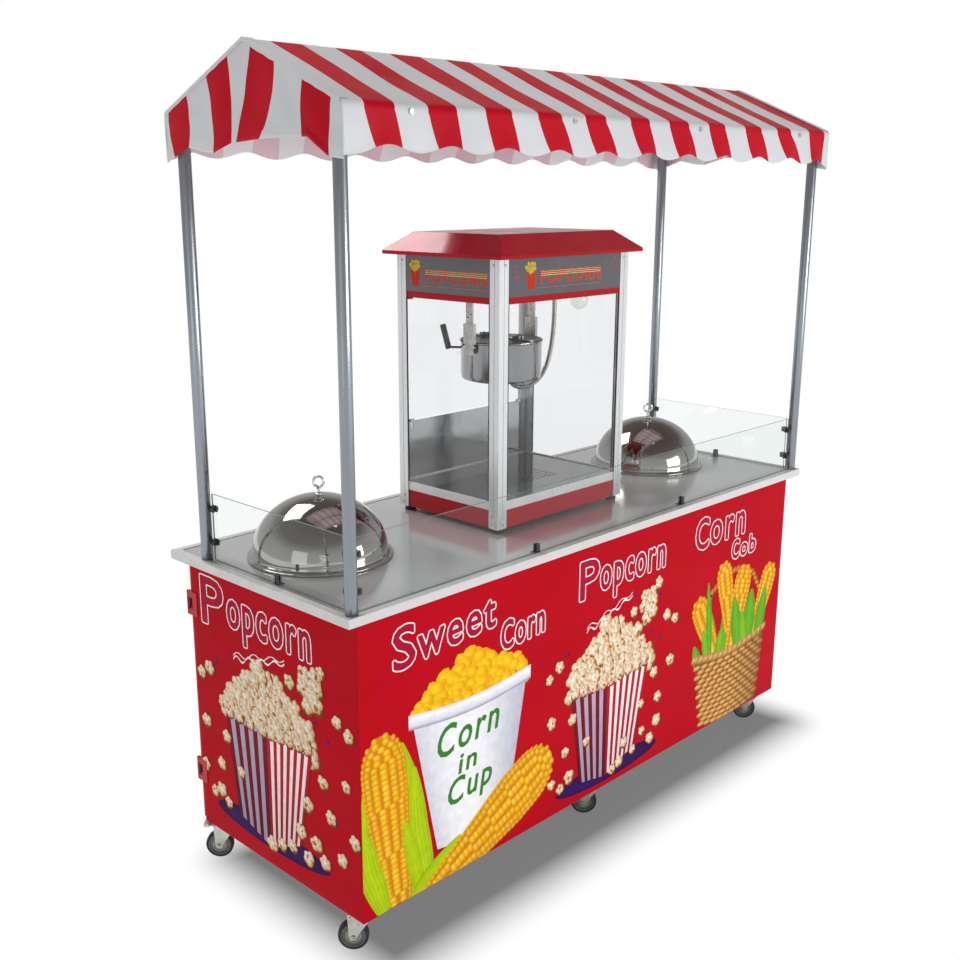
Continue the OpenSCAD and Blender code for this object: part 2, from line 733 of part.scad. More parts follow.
module drive_shaft() color("silver") translate([kx, ky, coupling_z + 1]) {
    cylinder(r = coupling_r, h = 14);
    cylinder(r = stir_r, h = ceiling_z + 40 - coupling_z - 1);
}

// direction of the route through point i
function route_dir(p, i) = let (a = p[max(i - 1, 0)], b = p[min(i + 1, len(p) - 1)]) (b - a) / norm(b - a);

// ring of points around the route at point i, for a route that lies near a plane of constant Y
function route_ring(p, i, r, n) = let (t = route_dir(p, i), w = cross([0, 1, 0], t), u = w / norm(w),
    v = cross(t, u)) [for (k = [0 : n - 1]) p[i] + r * (cos(k * 360 / n) * u + sin(k * 360 / n) * v)];

// armoured lead from the ceiling, looping down to the kettle's floor
module kettle_conduit() color("gray") {
    n = conduit_sides;
    last = len(conduit_route) - 1;
    points = [for (i = [0 : last]) each route_ring(conduit_route, i, conduit_d / 2, n)];
    walls = [for (i = [0 : last - 1], k = [0 : n - 1])
        let (a = i * n + k, b = i * n + (k + 1) % n) [a, a + n, b + n, b]];
    caps = [[for (k = [0 : n - 1]) k], [for (k = [n - 1 : -1 : 0]) last * n + k]];
    polyhedron(points, concat(walls, caps));
}

// bulb in a metal socket under the ceiling
module lamp() translate([mx1 - 90, my0 + 90, 0]) {
    color("silver") translate([0, 0, ceiling_z - 26]) cylinder(r = 16, h = 26);
    color("white") translate([0, 0, ceiling_z - 80]) cylinder(r = 24, h = 54);
}

// rocker in the back of the head
module rocker(x) translate([x, my1 - inset - 1, switch_z]) {
    span([-8, -1, -12], [8, 3, 12]);
    rotate([0, 90, 0]) translate([0, 0, -8]) cylinder(r = 4, h = 16);
}

module power_switch() color("black") rocker(switch_x[0]);

module heat_switch() color("black") rocker(switch_x[1]);

// ---------- casters ----------

// six top plates with their swivel studs
module caster_plates() color("lightgray") for (c = caster_pos) translate([c[0], c[1], 0]) {
    translate([-30, -30, caster_h - plate_t]) cube([60, 60, plate_t]);
    translate([0, 0, fork_top - 6]) cylinder(r = stud_r, h = caster_h - plate_t - fork_top + 6 + eps);
    translate([0, 0, fork_top - 5]) cylinder(r = 9, h = 1.2);
}

// swivelling fork with its axle and the ears for a brake lever, under caster i
module fork(i) color("silver") translate([caster_pos[i][0], caster_pos[i][1], 0]) rotate(trail_angle) {
    crown = fork_top - 3;
    difference() {
        union() {
            translate([0, 0, crown]) cylinder(r = 22, h = 8);
            translate([-16, -cheek_y - cheek_t, crown]) cube([38, 2 * (cheek_y + cheek_t), 3]);
            for (side = [-1, 1]) translate([0, side * (cheek_y + cheek_t / 2), 0]) rotate([90, 0, 0])
                translate([0, 0, -cheek_t / 2]) linear_extrude(cheek_t)
                    polygon([[-16, crown], [22, crown], [22, crown + 8], [38, crown + 8], [38, crown - 4],
                        [trail + 9, wheel_z + 4], [trail + 6, wheel_z - 7], [trail - 6, wheel_z - 7],
                        [trail - 10, wheel_z + 4]]);
        }
        translate([0, 0, crown - 1]) cylinder(r = stud_r + running, h = 12);
        translate([pedal_x, 0, pedal_z]) rotate([90, 0, 0])
            cylinder(r = pedal_pin_r + running, h = 60, center = true);
    }
    translate([trail, 0, wheel_z]) rotate([90, 0, 0])
        cylinder(r = axle_r, h = 2 * (cheek_y + cheek_t) + 4, center = true);
}

// wheel with a hub and a rubber tyre, on the fork's axle
module wheel(i) translate([caster_pos[i][0], caster_pos[i][1], 0]) rotate(trail_angle)
    translate([trail, 0, wheel_z]) rotate([90, 0, 0]) difference() {
        union() {
            color("dimgray") cylinder(r = wheel_z - 6, h = wheel_w - 4, center = true);
            color("gray") cylinder(r = hub_r, h = wheel_w + 3, center = true);
            color("black") translate([0, 0, -wheel_w / 2]) ring(wheel_z, wheel_z - 7, wheel_w);
        }
        cylinder(r = axle_r + running, h = wheel_w + 10, center = true);
    }

// foot lever of a braked caster, pivoting between the fork's ears
module brake_pedal(i) color("lightgray")
    translate([caster_pos[i][0], caster_pos[i][1], 0]) rotate(trail_angle) translate([pedal_x, 0, pedal_z]) {
        rotate([90, 0, 0]) cylinder(r = pedal_pin_r, h = 2 * (cheek_y + cheek_t), center = true);
        rotate([90, 0, 0]) cylinder(r = 4, h = 2 * cheek_y - 1, center = true);
        translate([0, -10, -1]) cube([24, 20, 3]);
        translate([20, -13, -1]) cube([12, 26, 8]);
    }

module fork_1() fork(0);
module fork_2() fork(1);
module fork_3() fork(2);
module fork_4() fork(3);
module fork_5() fork(4);
module fork_6() fork(5);
module wheel_1() wheel(0);
module wheel_2() wheel(1);
module wheel_3() wheel(2);
module wheel_4() wheel(3);
module wheel_5() wheel(4);
module wheel_6() wheel(5);
module brake_pedal_4() brake_pedal(3);
module brake_pedal_6() brake_pedal(5);

cabinet_frame();
front_panel();
side_panels();
floor_panel();
door_left();
door_right();
door_hinges();
counter_top();
counter_trim();
basin_left();
basin_right();
basin_heaters();
dome_left();
dome_right();
posts();
canopy_frame();
canopy_cover();
canopy_screws();
guard_front();
guard_ends();
guard_clips();
machine_base();
machine_feet();
corner_posts();
machine_glass();
machine_back_panel();
machine_door_left();
machine_door_right();
machine_head();
sign_panels();
machine_roof();
popcorn_deck();
crumb_drawer();
kettle();
kettle_crossbar();
kettle_lid_left();
kettle_lid_right();
kettle_hangers();
kettle_handle();
stirrer();
drive_shaft();
kettle_conduit();
lamp();
power_switch();
heat_switch();
caster_plates();
fork_1();
fork_2();
fork_3();
fork_4();
fork_5();
fork_6();
wheel_1();
wheel_2();
wheel_3();
wheel_4();
wheel_5();
wheel_6();
brake_pedal_4();
brake_pedal_6();
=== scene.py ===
"""Looks of the popcorn cart: camera, light, fabric canopy, printed panels and fine parts.

Every length is in metres in the row frame: +Z up, customer side towards -Y.
"""

import math
import random

import bmesh
import bpy
from mathutils import Matrix, Vector, noise


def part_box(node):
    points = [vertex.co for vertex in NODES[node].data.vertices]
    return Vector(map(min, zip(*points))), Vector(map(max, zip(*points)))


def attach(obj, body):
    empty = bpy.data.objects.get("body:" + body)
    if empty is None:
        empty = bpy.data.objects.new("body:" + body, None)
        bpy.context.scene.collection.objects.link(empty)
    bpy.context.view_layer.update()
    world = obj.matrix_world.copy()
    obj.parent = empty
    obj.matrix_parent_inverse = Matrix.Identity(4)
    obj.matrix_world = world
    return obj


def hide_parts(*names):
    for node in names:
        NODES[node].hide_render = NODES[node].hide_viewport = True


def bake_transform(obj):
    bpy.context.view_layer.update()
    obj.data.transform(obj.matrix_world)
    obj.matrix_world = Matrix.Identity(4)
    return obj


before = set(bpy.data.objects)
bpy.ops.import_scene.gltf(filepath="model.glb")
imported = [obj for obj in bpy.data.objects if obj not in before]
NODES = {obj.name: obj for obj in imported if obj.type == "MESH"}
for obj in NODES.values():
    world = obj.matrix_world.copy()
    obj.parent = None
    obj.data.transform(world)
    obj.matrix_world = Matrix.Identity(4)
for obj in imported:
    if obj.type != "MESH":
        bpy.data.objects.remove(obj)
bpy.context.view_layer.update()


MM = 0.001
TAU = 2 * math.pi

# ---------------------------------------------------------------- camera

CAMERA_AT = Vector((-2.2726, -2.0017, 1.6605))
CAMERA_RIGHT = Vector((0.70414, -0.71006, -0.00108))
CAMERA_DOWN = Vector((-0.17673, -0.17378, -0.9688))
CAMERA_AHEAD = Vector((0.68771, 0.68236, -0.24785))
LENS = 43.065
SENSOR = 36.0
SHIFT = (0.0221, 0.0024)


def make_camera():
    data = bpy.data.cameras.new("camera")
    data.sensor_width = SENSOR
    data.lens = LENS
    data.shift_x, data.shift_y = SHIFT
    data.clip_start, data.clip_end = 0.05, 60
    cam = bpy.data.objects.new("camera", data)
    bpy.context.scene.collection.objects.link(cam)
    rows = Matrix((CAMERA_RIGHT, -CAMERA_DOWN, -CAMERA_AHEAD)).transposed()
    cam.matrix_world = Matrix.Translation(CAMERA_AT) @ rows.to_4x4()
    bpy.context.scene.camera = cam


make_camera()

# ---------------------------------------------------------------- node helpers


def new_material(name):
    """An empty material with its principled shader, nodes and links."""
    mat = bpy.data.materials.new(name)
    mat.use_nodes = True
    tree = mat.node_tree
    shader = tree.nodes["Principled BSDF"]
    return mat, tree.nodes, tree.links, shader


def add(nodes, kind, **values):
    """A node with its input values set by name."""
    node = nodes.new(kind)
    for key, value in values.items():
        if key in node.inputs:
            node.inputs[key].default_value = value
        else:
            setattr(node, key, value)
    return node


def object_noise(nodes, links, scale, stretch=(1, 1, 1), detail=4.0):
    """Noise in the object's own coordinates, stretched along the axes."""
    coords = nodes.new("ShaderNodeTexCoord")
    mapping = nodes.new("ShaderNodeMapping")
    mapping.inputs["Scale"].default_value = stretch
    links.new(coords.outputs["Object"], mapping.inputs["Vector"])
    tex = add(nodes, "ShaderNodeTexNoise", Scale=scale, Detail=detail)
    links.new(mapping.outputs["Vector"], tex.inputs["Vector"])
    return tex.outputs["Fac"]


def ramp(nodes, links, value, low, high, at=(0.3, 0.7)):
    """A two-colour ramp over a value."""
    node = nodes.new("ShaderNodeValToRGB")
    for element, place, colour in zip(node.color_ramp.elements, at, (low, high)):
        element.position = place
        element.color = (*colour, 1) if len(colour) == 3 else colour
    links.new(value, node.inputs["Fac"])
    return node.outputs["Color"]


def spread(nodes, links, value, low, high):
    """A value mapped from 0.3..0.7 to low..high."""
    node = nodes.new("ShaderNodeMapRange")
    node.inputs["From Min"].default_value = 0.3
    node.inputs["From Max"].default_value = 0.7
    node.inputs["To Min"].default_value = low
    node.inputs["To Max"].default_value = high
    links.new(value, node.inputs["Value"])
    return node.outputs["Result"]


def mix_shaders(nodes, links, factor, first, second):
    """Two shaders mixed by a factor."""
    mix = nodes.new("ShaderNodeMixShader")
    links.new(factor, mix.inputs["Fac"])
    links.new(first, mix.inputs[1])
    links.new(second, mix.inputs[2])
    return mix.outputs["Shader"]


def shade(colour, factor):
    """A colour made darker or lighter."""
    return tuple(min(1.0, c * factor) for c in colour)


def surface(name, colour, rough, metal=0.0, tint=0.08, tint_scale=8.0, tint_stretch=(1, 1, 1),
            rough_spread=0.06, grain=0.0, grain_scale=300.0, grain_stretch=(1, 1, 1), coat=0.0,
            wave=0.0, wave_scale=3.0, specular=0.5):
    """A finish with mottled colour, uneven roughness, fine grain and broad waviness."""
    mat, nodes, links, shader = new_material(name)
    shader.inputs["Metallic"].default_value = metal
    shader.inputs["Specular IOR Level"].default_value = specular
    shader.inputs["Coat Weight"].default_value = coat
    shader.inputs["Coat Roughness"].default_value = 0.06
    mottle = object_noise(nodes, links, tint_scale, tint_stretch)
    colours = ramp(nodes, links, mottle, shade(colour, 1 - tint), shade(colour, 1 + tint))
    links.new(colours, shader.inputs["Base Color"])
    patch = object_noise(nodes, links, tint_scale * 2.3, tint_stretch)
    roughness = spread(nodes, links, patch, max(0.02, rough - rough_spread), rough + rough_spread)
    links.new(roughness, shader.inputs["Roughness"])
    normal = None
    if wave:
        broad = add(nodes, "ShaderNodeBump", Strength=1.0, Distance=wave)
        links.new(object_noise(nodes, links, wave_scale, detail=1.0), broad.inputs["Height"])
        normal = broad.outputs["Normal"]
    if grain:
        fine = add(nodes, "ShaderNodeBump", Strength=1.0, Distance=grain)
        links.new(object_noise(nodes, links, grain_scale, grain_stretch, 3.0), fine.inputs["Height"])
        if normal:
            links.new(normal, fine.inputs["Normal"])
        normal = fine.outputs["Normal"]
    if normal:
        links.new(normal, shader.inputs["Normal"])
    return mat


def front_only(nodes, links, value):
    """A value kept on front faces and nil on back faces."""
    geometry = nodes.new("ShaderNodeNewGeometry")
    front = add(nodes, "ShaderNodeMath", operation="SUBTRACT")
    front.inputs[0].default_value = 1.0
    links.new(geometry.outputs["Backfacing"], front.inputs[1])
    product = add(nodes, "ShaderNodeMath", operation="MULTIPLY")
    links.new(front.outputs[0], product.inputs[0])
    links.new(value, product.inputs[1])
    return product.outputs[0]


CUT_GLASS = (0.16, 0.28, 0.24)


def glass_film(name, tint, face_axis=None):
    """Clear pane: see-through with a sharp sheen, and greenish where it is cut.

    Its faces look along face_axis; the others are cut edges.
    """
    mat, nodes, links, shader = new_material(name)
    clear = nodes.new("ShaderNodeBsdfTransparent")
    clear.inputs["Color"].default_value = (*tint, 1)
    gloss = nodes.new("ShaderNodeBsdfGlossy")
    fresnel = add(nodes, "ShaderNodeFresnel", IOR=1.45)
    smudge = object_noise(nodes, links, 5.0, detail=3.0)
    links.new(spread(nodes, links, smudge, 0.01, 0.05), gloss.inputs["Roughness"])
    film = mix_shaders(nodes, links, front_only(nodes, links, fresnel.outputs["Fac"]), clear.outputs["BSDF"],
                       gloss.outputs["BSDF"])
    out = nodes["Material Output"]
    if face_axis is None:
        nodes.remove(shader)
        links.new(film, out.inputs["Surface"])
        return mat
    shader.inputs["Base Color"].default_value = (*CUT_GLASS, 1)
    shader.inputs["Roughness"].default_value = 0.15
    geometry = nodes.new("ShaderNodeNewGeometry")
    parts = nodes.new("ShaderNodeSeparateXYZ")
    links.new(geometry.outputs["True Normal"], parts.inputs["Vector"])
    size = add(nodes, "ShaderNodeMath", operation="ABSOLUTE")
    links.new(parts.outputs[face_axis], size.inputs[0])
    is_edge = add(nodes, "ShaderNodeMath", operation="LESS_THAN")
    is_edge.inputs[1].default_value = 0.5
    links.new(size.outputs[0], is_edge.inputs[0])
    both = mix_shaders(nodes, links, is_edge.outputs[0], film, shader.outputs["BSDF"])
    links.new(both, out.inputs["Surface"])
    return mat


def two_tone(name, low, high, split, axis="Z", metal=0.3):
    """One finish up to a place along an axis and another beyond it."""
    mat, nodes, links, shader = new_material(name)
    upper = nodes.new("ShaderNodeBsdfPrincipled")
    for part, colour, rough in ((shader, low, 0.2), (upper, high, 0.3)):
        mottle = object_noise(nodes, links, 9.0)
        tone = ramp(nodes, links, mottle, shade(colour, 0.94), shade(colour, 1.05))
        links.new(tone, part.inputs["Base Color"])
        patch = object_noise(nodes, links, 22.0)
        links.new(spread(nodes, links, patch, rough - 0.05, rough + 0.07), part.inputs["Roughness"])
    shader.inputs["Coat Weight"].default_value = 0.15
    shader.inputs["Specular IOR Level"].default_value = 0.2
    upper.inputs["Metallic"].default_value = metal
    coords = nodes.new("ShaderNodeTexCoord")
    parts = nodes.new("ShaderNodeSeparateXYZ")
    links.new(coords.outputs["Object"], parts.inputs["Vector"])
    above = add(nodes, "ShaderNodeMath", operation="GREATER_THAN")
    above.inputs[1].default_value = split
    links.new(parts.outputs[axis], above.inputs[0])
    both = mix_shaders(nodes, links, above.outputs[0], shader.outputs["BSDF"], upper.outputs["BSDF"])
    links.new(both, nodes["Material Output"].inputs["Surface"])
    return mat


def print_material(name):
    """Glossy printed film whose ink comes from the mesh's colour attribute."""
    mat, nodes, links, shader = new_material(name)
    colour = add(nodes, "ShaderNodeAttribute", attribute_name="ink")
    mottle = object_noise(nodes, links, 60.0)
    bright = nodes.new("ShaderNodeHueSaturation")
    links.new(spread(nodes, links, mottle, 0.93, 1.07), bright.inputs["Value"])
    links.new(colour.outputs["Color"], bright.inputs["Color"])
    links.new(bright.outputs["Color"], shader.inputs["Base Color"])
    shader.inputs["Specular IOR Level"].default_value = 0.04
    shader.inputs["Coat Weight"].default_value = 0.01
    shader.inputs["Coat Roughness"].default_value = 0.08
    links.new(spread(nodes, links, object_noise(nodes, links, 20.0), 0.38, 0.5), shader.inputs["Roughness"])
    return mat


# ---------------------------------------------------------------- materials

DOOR_FACE_Y, SILL_Z = 0.3218, 0.8832
M = {
    "vinyl": surface("vinyl_red", (0.50, 0.001, 0.010), 0.5, tint=0.07, tint_scale=2.2,
                     tint_stretch=(1, 1, 2.5), coat=0.02, grain=0.00002, grain_scale=500, wave=0.0006,
                     wave_scale=5.0, specular=0.03),
    "door": surface("door_red", (0.50, 0.006, 0.014), 0.3, tint=0.06, coat=0.1, specular=0.2, grain=0.00002,
                    wave=0.0003, wave_scale=4),
    "tube": surface("frame_tube", (0.62, 0.63, 0.64), 0.38, metal=0.9, grain=0.00003, grain_scale=120,
                    grain_stretch=(1, 1, 12)),
    "sheet_alu": surface("plain_sheet", (0.60, 0.61, 0.62), 0.35, metal=0.9, grain=0.00002,
                         grain_scale=60, grain_stretch=(20, 1, 1)),
    "zinc": surface("zinc_plate", (0.52, 0.51, 0.47), 0.34, metal=0.85, tint=0.16, tint_scale=60,
                    rough_spread=0.12, grain=0.00002),
    "worktop": surface("satin_steel", (0.64, 0.64, 0.65), 0.16, metal=0.55, tint=0.05, tint_scale=3,
                       rough_spread=0.05, grain=0.000015, grain_scale=60, grain_stretch=(1, 22, 1),
                       wave=0.0004, wave_scale=3),
    "trim": surface("edge_profile", (0.66, 0.66, 0.655), 0.42, metal=0.25, tint=0.05, tint_scale=6,
                    tint_stretch=(0.3, 4, 4), grain=0.00002, grain_scale=80),
    "post": surface("post_tube", (0.29, 0.315, 0.345), 0.30, metal=1.0, tint=0.10, tint_scale=30,
                    tint_stretch=(1, 1, 0.06), rough_spread=0.1, grain=0.00003, grain_scale=200,
                    grain_stretch=(1, 1, 0.04)),
    "polished": surface("polished_steel", (0.66, 0.65, 0.63), 0.08, metal=1.0, tint=0.05, tint_scale=10,
                        rough_spread=0.04, grain=0.000008, grain_scale=90, grain_stretch=(1, 1, 14)),
    "stainless": surface("stainless", (0.46, 0.46, 0.465), 0.13, metal=1.0, tint=0.06, tint_scale=14,
                         rough_spread=0.05, grain=0.00001, grain_scale=60, grain_stretch=(1, 1, 18)),
    "pot": surface("pot_steel", (0.30, 0.30, 0.305), 0.12, metal=1.0, tint=0.12, tint_scale=14,
                   tint_stretch=(1, 1, 0.1), rough_spread=0.05, grain=0.00001, grain_scale=60,
                   grain_stretch=(1, 1, 18)),
    # near-black steel on the kettle's lids and rolled rim
    "dark_steel": surface("near_black_steel", (0.07, 0.07, 0.075), 0.3, metal=0.8, tint=0.25, tint_scale=40,
                          rough_spread=0.12, grain=0.00003),
    "black_iron": surface("black_iron", (0.03, 0.03, 0.03), 0.6, metal=0.6, grain=0.0001),
    "clip": surface("clip_black", (0.03, 0.03, 0.032), 0.35, tint=0.2, grain=0.00003),
    "machine_red": surface("machine_red", (0.40, 0.002, 0.010), 0.16, tint=0.06, coat=0.05, specular=0.12,
                           grain=0.00001, wave=0.0002, wave_scale=8),
    "rubber": surface("rubber", (0.02, 0.02, 0.021), 0.7, tint=0.25, tint_scale=50, grain=0.00008),
    "anodised": surface("anodised", (0.70, 0.715, 0.73), 0.3, metal=0.55, tint=0.04, tint_scale=20,
                        tint_stretch=(1, 1, 0.1), grain=0.00002, grain_scale=220,
                        grain_stretch=(1, 1, 0.03)),
    "door_and_handle": two_tone("door_and_handle", (0.50, 0.002, 0.012), (0.03, 0.03, 0.032),
                                DOOR_FACE_Y, "Y", 0.0),
    "machine_base": two_tone("machine_base", (0.43, 0.004, 0.012), (0.74, 0.75, 0.76), SILL_Z),
    "sign": surface("sign_dark", (0.065, 0.068, 0.082), 0.22, tint=0.15, tint_scale=6, coat=0.5),
    "grip": surface("grip_black", (0.018, 0.018, 0.02), 0.34, tint=0.2, grain=0.00004, coat=0.2),
    "conduit": surface("conduit_steel", (0.34, 0.34, 0.33), 0.32, metal=0.95, tint=0.2, tint_scale=80),
    "hub": surface("hub_grey", (0.115, 0.115, 0.105), 0.36, metal=0.3, tint=0.15, tint_scale=40,
                   coat=0.3, grain=0.00003),
    "cloth_red": surface("cloth_red", (0.49, 0.001, 0.012), 0.38, tint=0.07, tint_scale=5, specular=0.08,
                         coat=0.01, grain=0.00008, grain_scale=900, wave=0.0012, wave_scale=9),
    "cloth_white": surface("cloth_white", (0.62, 0.635, 0.66), 0.36, tint=0.035, tint_scale=5, specular=0.25,
                           coat=0.05, grain=0.00008, grain_scale=900, wave=0.0012, wave_scale=9),
    "cloth_red_in": surface("cloth_red_inside", (0.70, 0.50, 0.55), 0.6, tint=0.05, grain=0.00008,
                            grain_scale=900),
    "cloth_white_in": surface("cloth_white_inside", (0.76, 0.75, 0.77), 0.6, tint=0.03, grain=0.00008,
                              grain_scale=900),
    "guard_y": glass_film("guard_glass_front", (0.965, 0.982, 0.975), "Y"),
    "guard_x": glass_film("guard_glass_end", (0.965, 0.982, 0.975), "X"),
    "pane": glass_film("cabinet_glass", (0.966, 0.970, 0.974)),
    "print": print_material("printed_film"),
    "dome": surface("spun_steel", (0.44, 0.42, 0.40), 0.07, metal=1.0, tint=0.06, tint_scale=12,
                    rough_spread=0.03, grain=0.000006, grain_scale=70, grain_stretch=(1, 1, 10)),
    "hub_light": surface("hub_ring", (0.34, 0.33, 0.31), 0.3, metal=0.4, tint=0.12, tint_scale=60, coat=0.3),
    # dark grey: painted groove shade on the posts, and the dark joint line on the counter trim
    "groove": surface("painted_groove_shade_and_joint_line", (0.16, 0.17, 0.18), 0.5, tint=0.2, tint_scale=90),
    "bulb": glass_film("bulb_glass", (0.88, 0.92, 0.87)),
}

# the CAD parts of each finish
PARTS = {
    "tube": "cabinet_frame canopy_frame",
    "vinyl": "front_panel side_panels",
    "sheet_alu": "floor_panel",
    "door_and_handle": "door_left door_right",
    "door": "door_hinges",
    "worktop": "counter_top",
    "trim": "counter_trim",
    "stainless": "basin_left basin_right machine_back_panel popcorn_deck crumb_drawer kettle_crossbar "
                 "stirrer drive_shaft",
    "black_iron": "basin_heaters",
    "polished": "dome_left dome_right lamp",
    "post": "posts",
    "cloth_white": "canopy_cover",
    "zinc": "canopy_screws kettle_hangers caster_plates brake_pedal_4 brake_pedal_6",
    "guard_y": "guard_front",
    "guard_x": "guard_ends",
    "clip": "guard_clips",
    "machine_base": "machine_base",
    "rubber": "machine_feet",
    "anodised": "corner_posts",
    "pane": "machine_glass machine_door_left machine_door_right",
    "machine_red": "machine_head machine_roof",
    "sign": "sign_panels",
    "pot": "kettle",
    "dark_steel": "kettle_lid_left kettle_lid_right",
    "grip": "kettle_handle power_switch heat_switch",
    "conduit": "kettle_conduit",
}
CASTERS = range(1, 7)


def dress(node, material):
    """Gives every slot of a CAD part one material."""
    slots = NODES[node].material_slots
    if not slots:
        NODES[node].data.materials.append(material)
    for slot in slots:
        slot.material = material


for look, part_names in PARTS.items():
    for part_name in part_names.split():
        dress(part_name, M[look])
for i in CASTERS:
    dress(f"fork_{i}", M["zinc"])
    dress(f"wheel_{i}", M["hub"])

# ---------------------------------------------------------------- mesh helpers


def link(name, mesh, materials, body="cart"):
    """Puts a mesh in the scene, riding on a body if one is named."""
    obj = bpy.data.objects.new(name, mesh)
    for mat in materials:
        mesh.materials.append(mat)
    bpy.context.scene.collection.objects.link(obj)
    if body:
        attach(obj, body)
    return obj


def mesh_of(name, verts, faces, index=None):
    """A mesh from point and face lists, with a material index for each face."""
    mesh = bpy.data.meshes.new(name)
    mesh.from_pydata(verts, [], faces)
    if index:
        mesh.polygons.foreach_set("material_index", index)
    return mesh


def smooth(mesh, angle=35):
    """Smooth shading, with creases left sharp."""
    mesh.shade_smooth()
    mesh.set_sharp_from_angle(angle=math.radians(angle))


def lerp(a, b, t):
    """The value a share t of the way from a to b."""
    return a + (b - a) * t


def piecewise(points, x):
    """Value at x of a line through sorted (x, value) points."""
    if x <= points[0][0]:
        return points[0][1]
    for (x0, v0), (x1, v1) in zip(points, points[1:]):
        if x <= x1:
            return lerp(v0, v1, (x - x0) / (x1 - x0))
    return points[-1][1]


def grid_mesh(name, columns, picks):
    """Mesh over columns of points, with a material index for each strip between columns."""
    rows = len(columns[0])
    verts = [p for column in columns for p in column]
    faces, index = [], []
    for c in range(len(columns) - 1):
        for r in range(rows - 1):
            a = c * rows + r
            faces.append((a, a + rows, a + rows + 1, a + 1))
            index.append(picks[c])
    return mesh_of(name, verts, faces, index)


# ---------------------------------------------------------------- canopy fabric

# each red stripe's start and end along X in mm, at the hem, then the eave, then the ridge
STRIPES = [
    (-822, -750, -845, -770, -832, -754), (-660, -590, -684, -606, -670, -598),
    (-500, -419, -524, -446, -520, -429), (-328, -243, -364, -286, -351, -273),
    (-169, -85, -206, -133, -182, -107), (0, 65, -42, 32, -13, 58), (153, 235, 112, 194, 136, 214),
    (319, 393, 282, 356, 302, 374), (487, 579, 452, 532, 470, 548), (664, 754, 612, 684, 630, 704),
    (803, 861, 784, 872, 795, 872),
]
CANOPY_X = 0.8978
EAVE_Z, RIDGE_Z, HEM_Z = 1.8150, 1.9420, 1.7330
FRONT_Y, RIDGE_Y, BACK_Y = -0.3450, -0.0510, 0.2430
CLOTH_T = 0.0008
CLOTH = [M["cloth_red"], M["cloth_white"], M["cloth_red_in"], M["cloth_white_in"]]
RAFTERS = (-0.89, 0.0, 0.89)
ROWS_SKIRT, ROWS_ROOF = 14, 30
STRIPE_STEPS = 9
EAVE_DROP, EAVE_IN, EAVE_RISE = 0.012, 0.011, 0.0048


def tent_profile():
    """(y, z, s) from the front hem over the ridge to the back hem; s is -2..2 along the way."""
    half = []
    for i in range(ROWS_SKIRT):
        t = i / (ROWS_SKIRT - 1)
        half.append((FRONT_Y, lerp(HEM_Z, EAVE_Z - EAVE_DROP, t), -2 + t))
    for i in range(1, 5):
        turn = i / 5
        y = lerp(FRONT_Y, lerp(FRONT_Y, FRONT_Y + EAVE_IN, turn), turn)
        z = lerp(lerp(EAVE_Z - EAVE_DROP, EAVE_Z, turn), lerp(EAVE_Z, EAVE_Z + EAVE_RISE, turn), turn)
        half.append((y, z, -1 + 0.02 * i))
    for i in range(ROWS_ROOF + 1):
        t = i / ROWS_ROOF
        y = lerp(FRONT_Y + EAVE_IN, RIDGE_Y - 0.004, t)
        z = lerp(EAVE_Z + EAVE_RISE, RIDGE_Z - 0.0018, t)
        half.append((y, z, -0.9 + 0.9 * t - 0.0001))
    back = [(2 * RIDGE_Y - y, z, -s) for y, z, s in reversed(half)]
    return half + [(RIDGE_Y, RIDGE_Z - 0.0003, 0.0)] + back


def stripe_x(low, middle, top, s):
    """Position along X of a stripe edge at s along the profile."""
    a = abs(s)
    if s > 0:
        low, middle = top + (top - low) * 0.6, top + (top - middle) * 0.6
    if a > 1:
        return lerp(middle, low, a - 1)
    bend = 6 * math.sin(math.pi * a) ** 2
    return lerp(top, middle, a) + bend


def hem_wave(x_mm, phase):
    """Scallops of the valance: lowest below each red stripe."""
    return 0.0075 * math.cos(TAU * (x_mm + phase) / 163.5)


def roof_cloth():
    """Both roof slopes and both long valances in one striped cloth."""
    edges = [(-898, -898, -898)]
    for h0, h1, e0, e1, r0, r1 in STRIPES:
        edges += [(h0, e0, r0), (h1, e1, r1)]
    edges.append((898, 898, 898))
    profile = tent_profile()
    columns, picks = [], []
    for k in range(len(edges) - 1):
        for j in range(STRIPE_STEPS + (k == len(edges) - 2)):
            t = j / STRIPE_STEPS
            low, middle, top = (lerp(a, b, t) for a, b in zip(edges[k], edges[k + 1]))
            columns.append([cloth_point(low, middle, top, y, z, s) for y, z, s in profile])
            picks.append(1 - k % 2)
    mesh = grid_mesh("roof_cloth", columns, picks)
    return finish_cloth(mesh, "roof_cloth", flat=(1.796, 0.812))


def cloth_point(low, middle, top, y, z, s):
    """A point of the cloth, which sags between rafters and waves along its valance."""
    x = stripe_x(low, middle, top, s) * MM
    x = max(-CANOPY_X, min(CANOPY_X, x))
    a = abs(s)
    span = min(abs(x - r) for r in RAFTERS)
    free = min(1.0, span / 0.2)
    if a > 1:
        drop = a - 1
        corner = max(0.0, 1 - (CANOPY_X - abs(x)) / 0.07)
        z += drop * (hem_wave(x / MM, -32 if s < 0 else 35) * (1 - corner) - 0.015 * corner)
        out = 0.0035 * math.sin(TAU * x / 0.163 + 1.2) * drop
        out += 0.0012 * noise.noise(Vector((x * 9, z * 14, s)))
        y += math.copysign(1, s) * (out + 0.001) * drop
    else:
        slack = math.sin(math.pi * min(1.0, a)) ** 2 * free
        ripple = noise.noise(Vector((x * 5.5, a * 2.2, 3.1)))
        z -= slack * (0.0042 + 0.0035 * ripple)
        if 0.7 < a:
            z -= 0.0025 * free * (0.5 + 0.5 * math.sin(TAU * x / 0.41)) * (a - 0.7) / 0.3
    return (x, y, z)


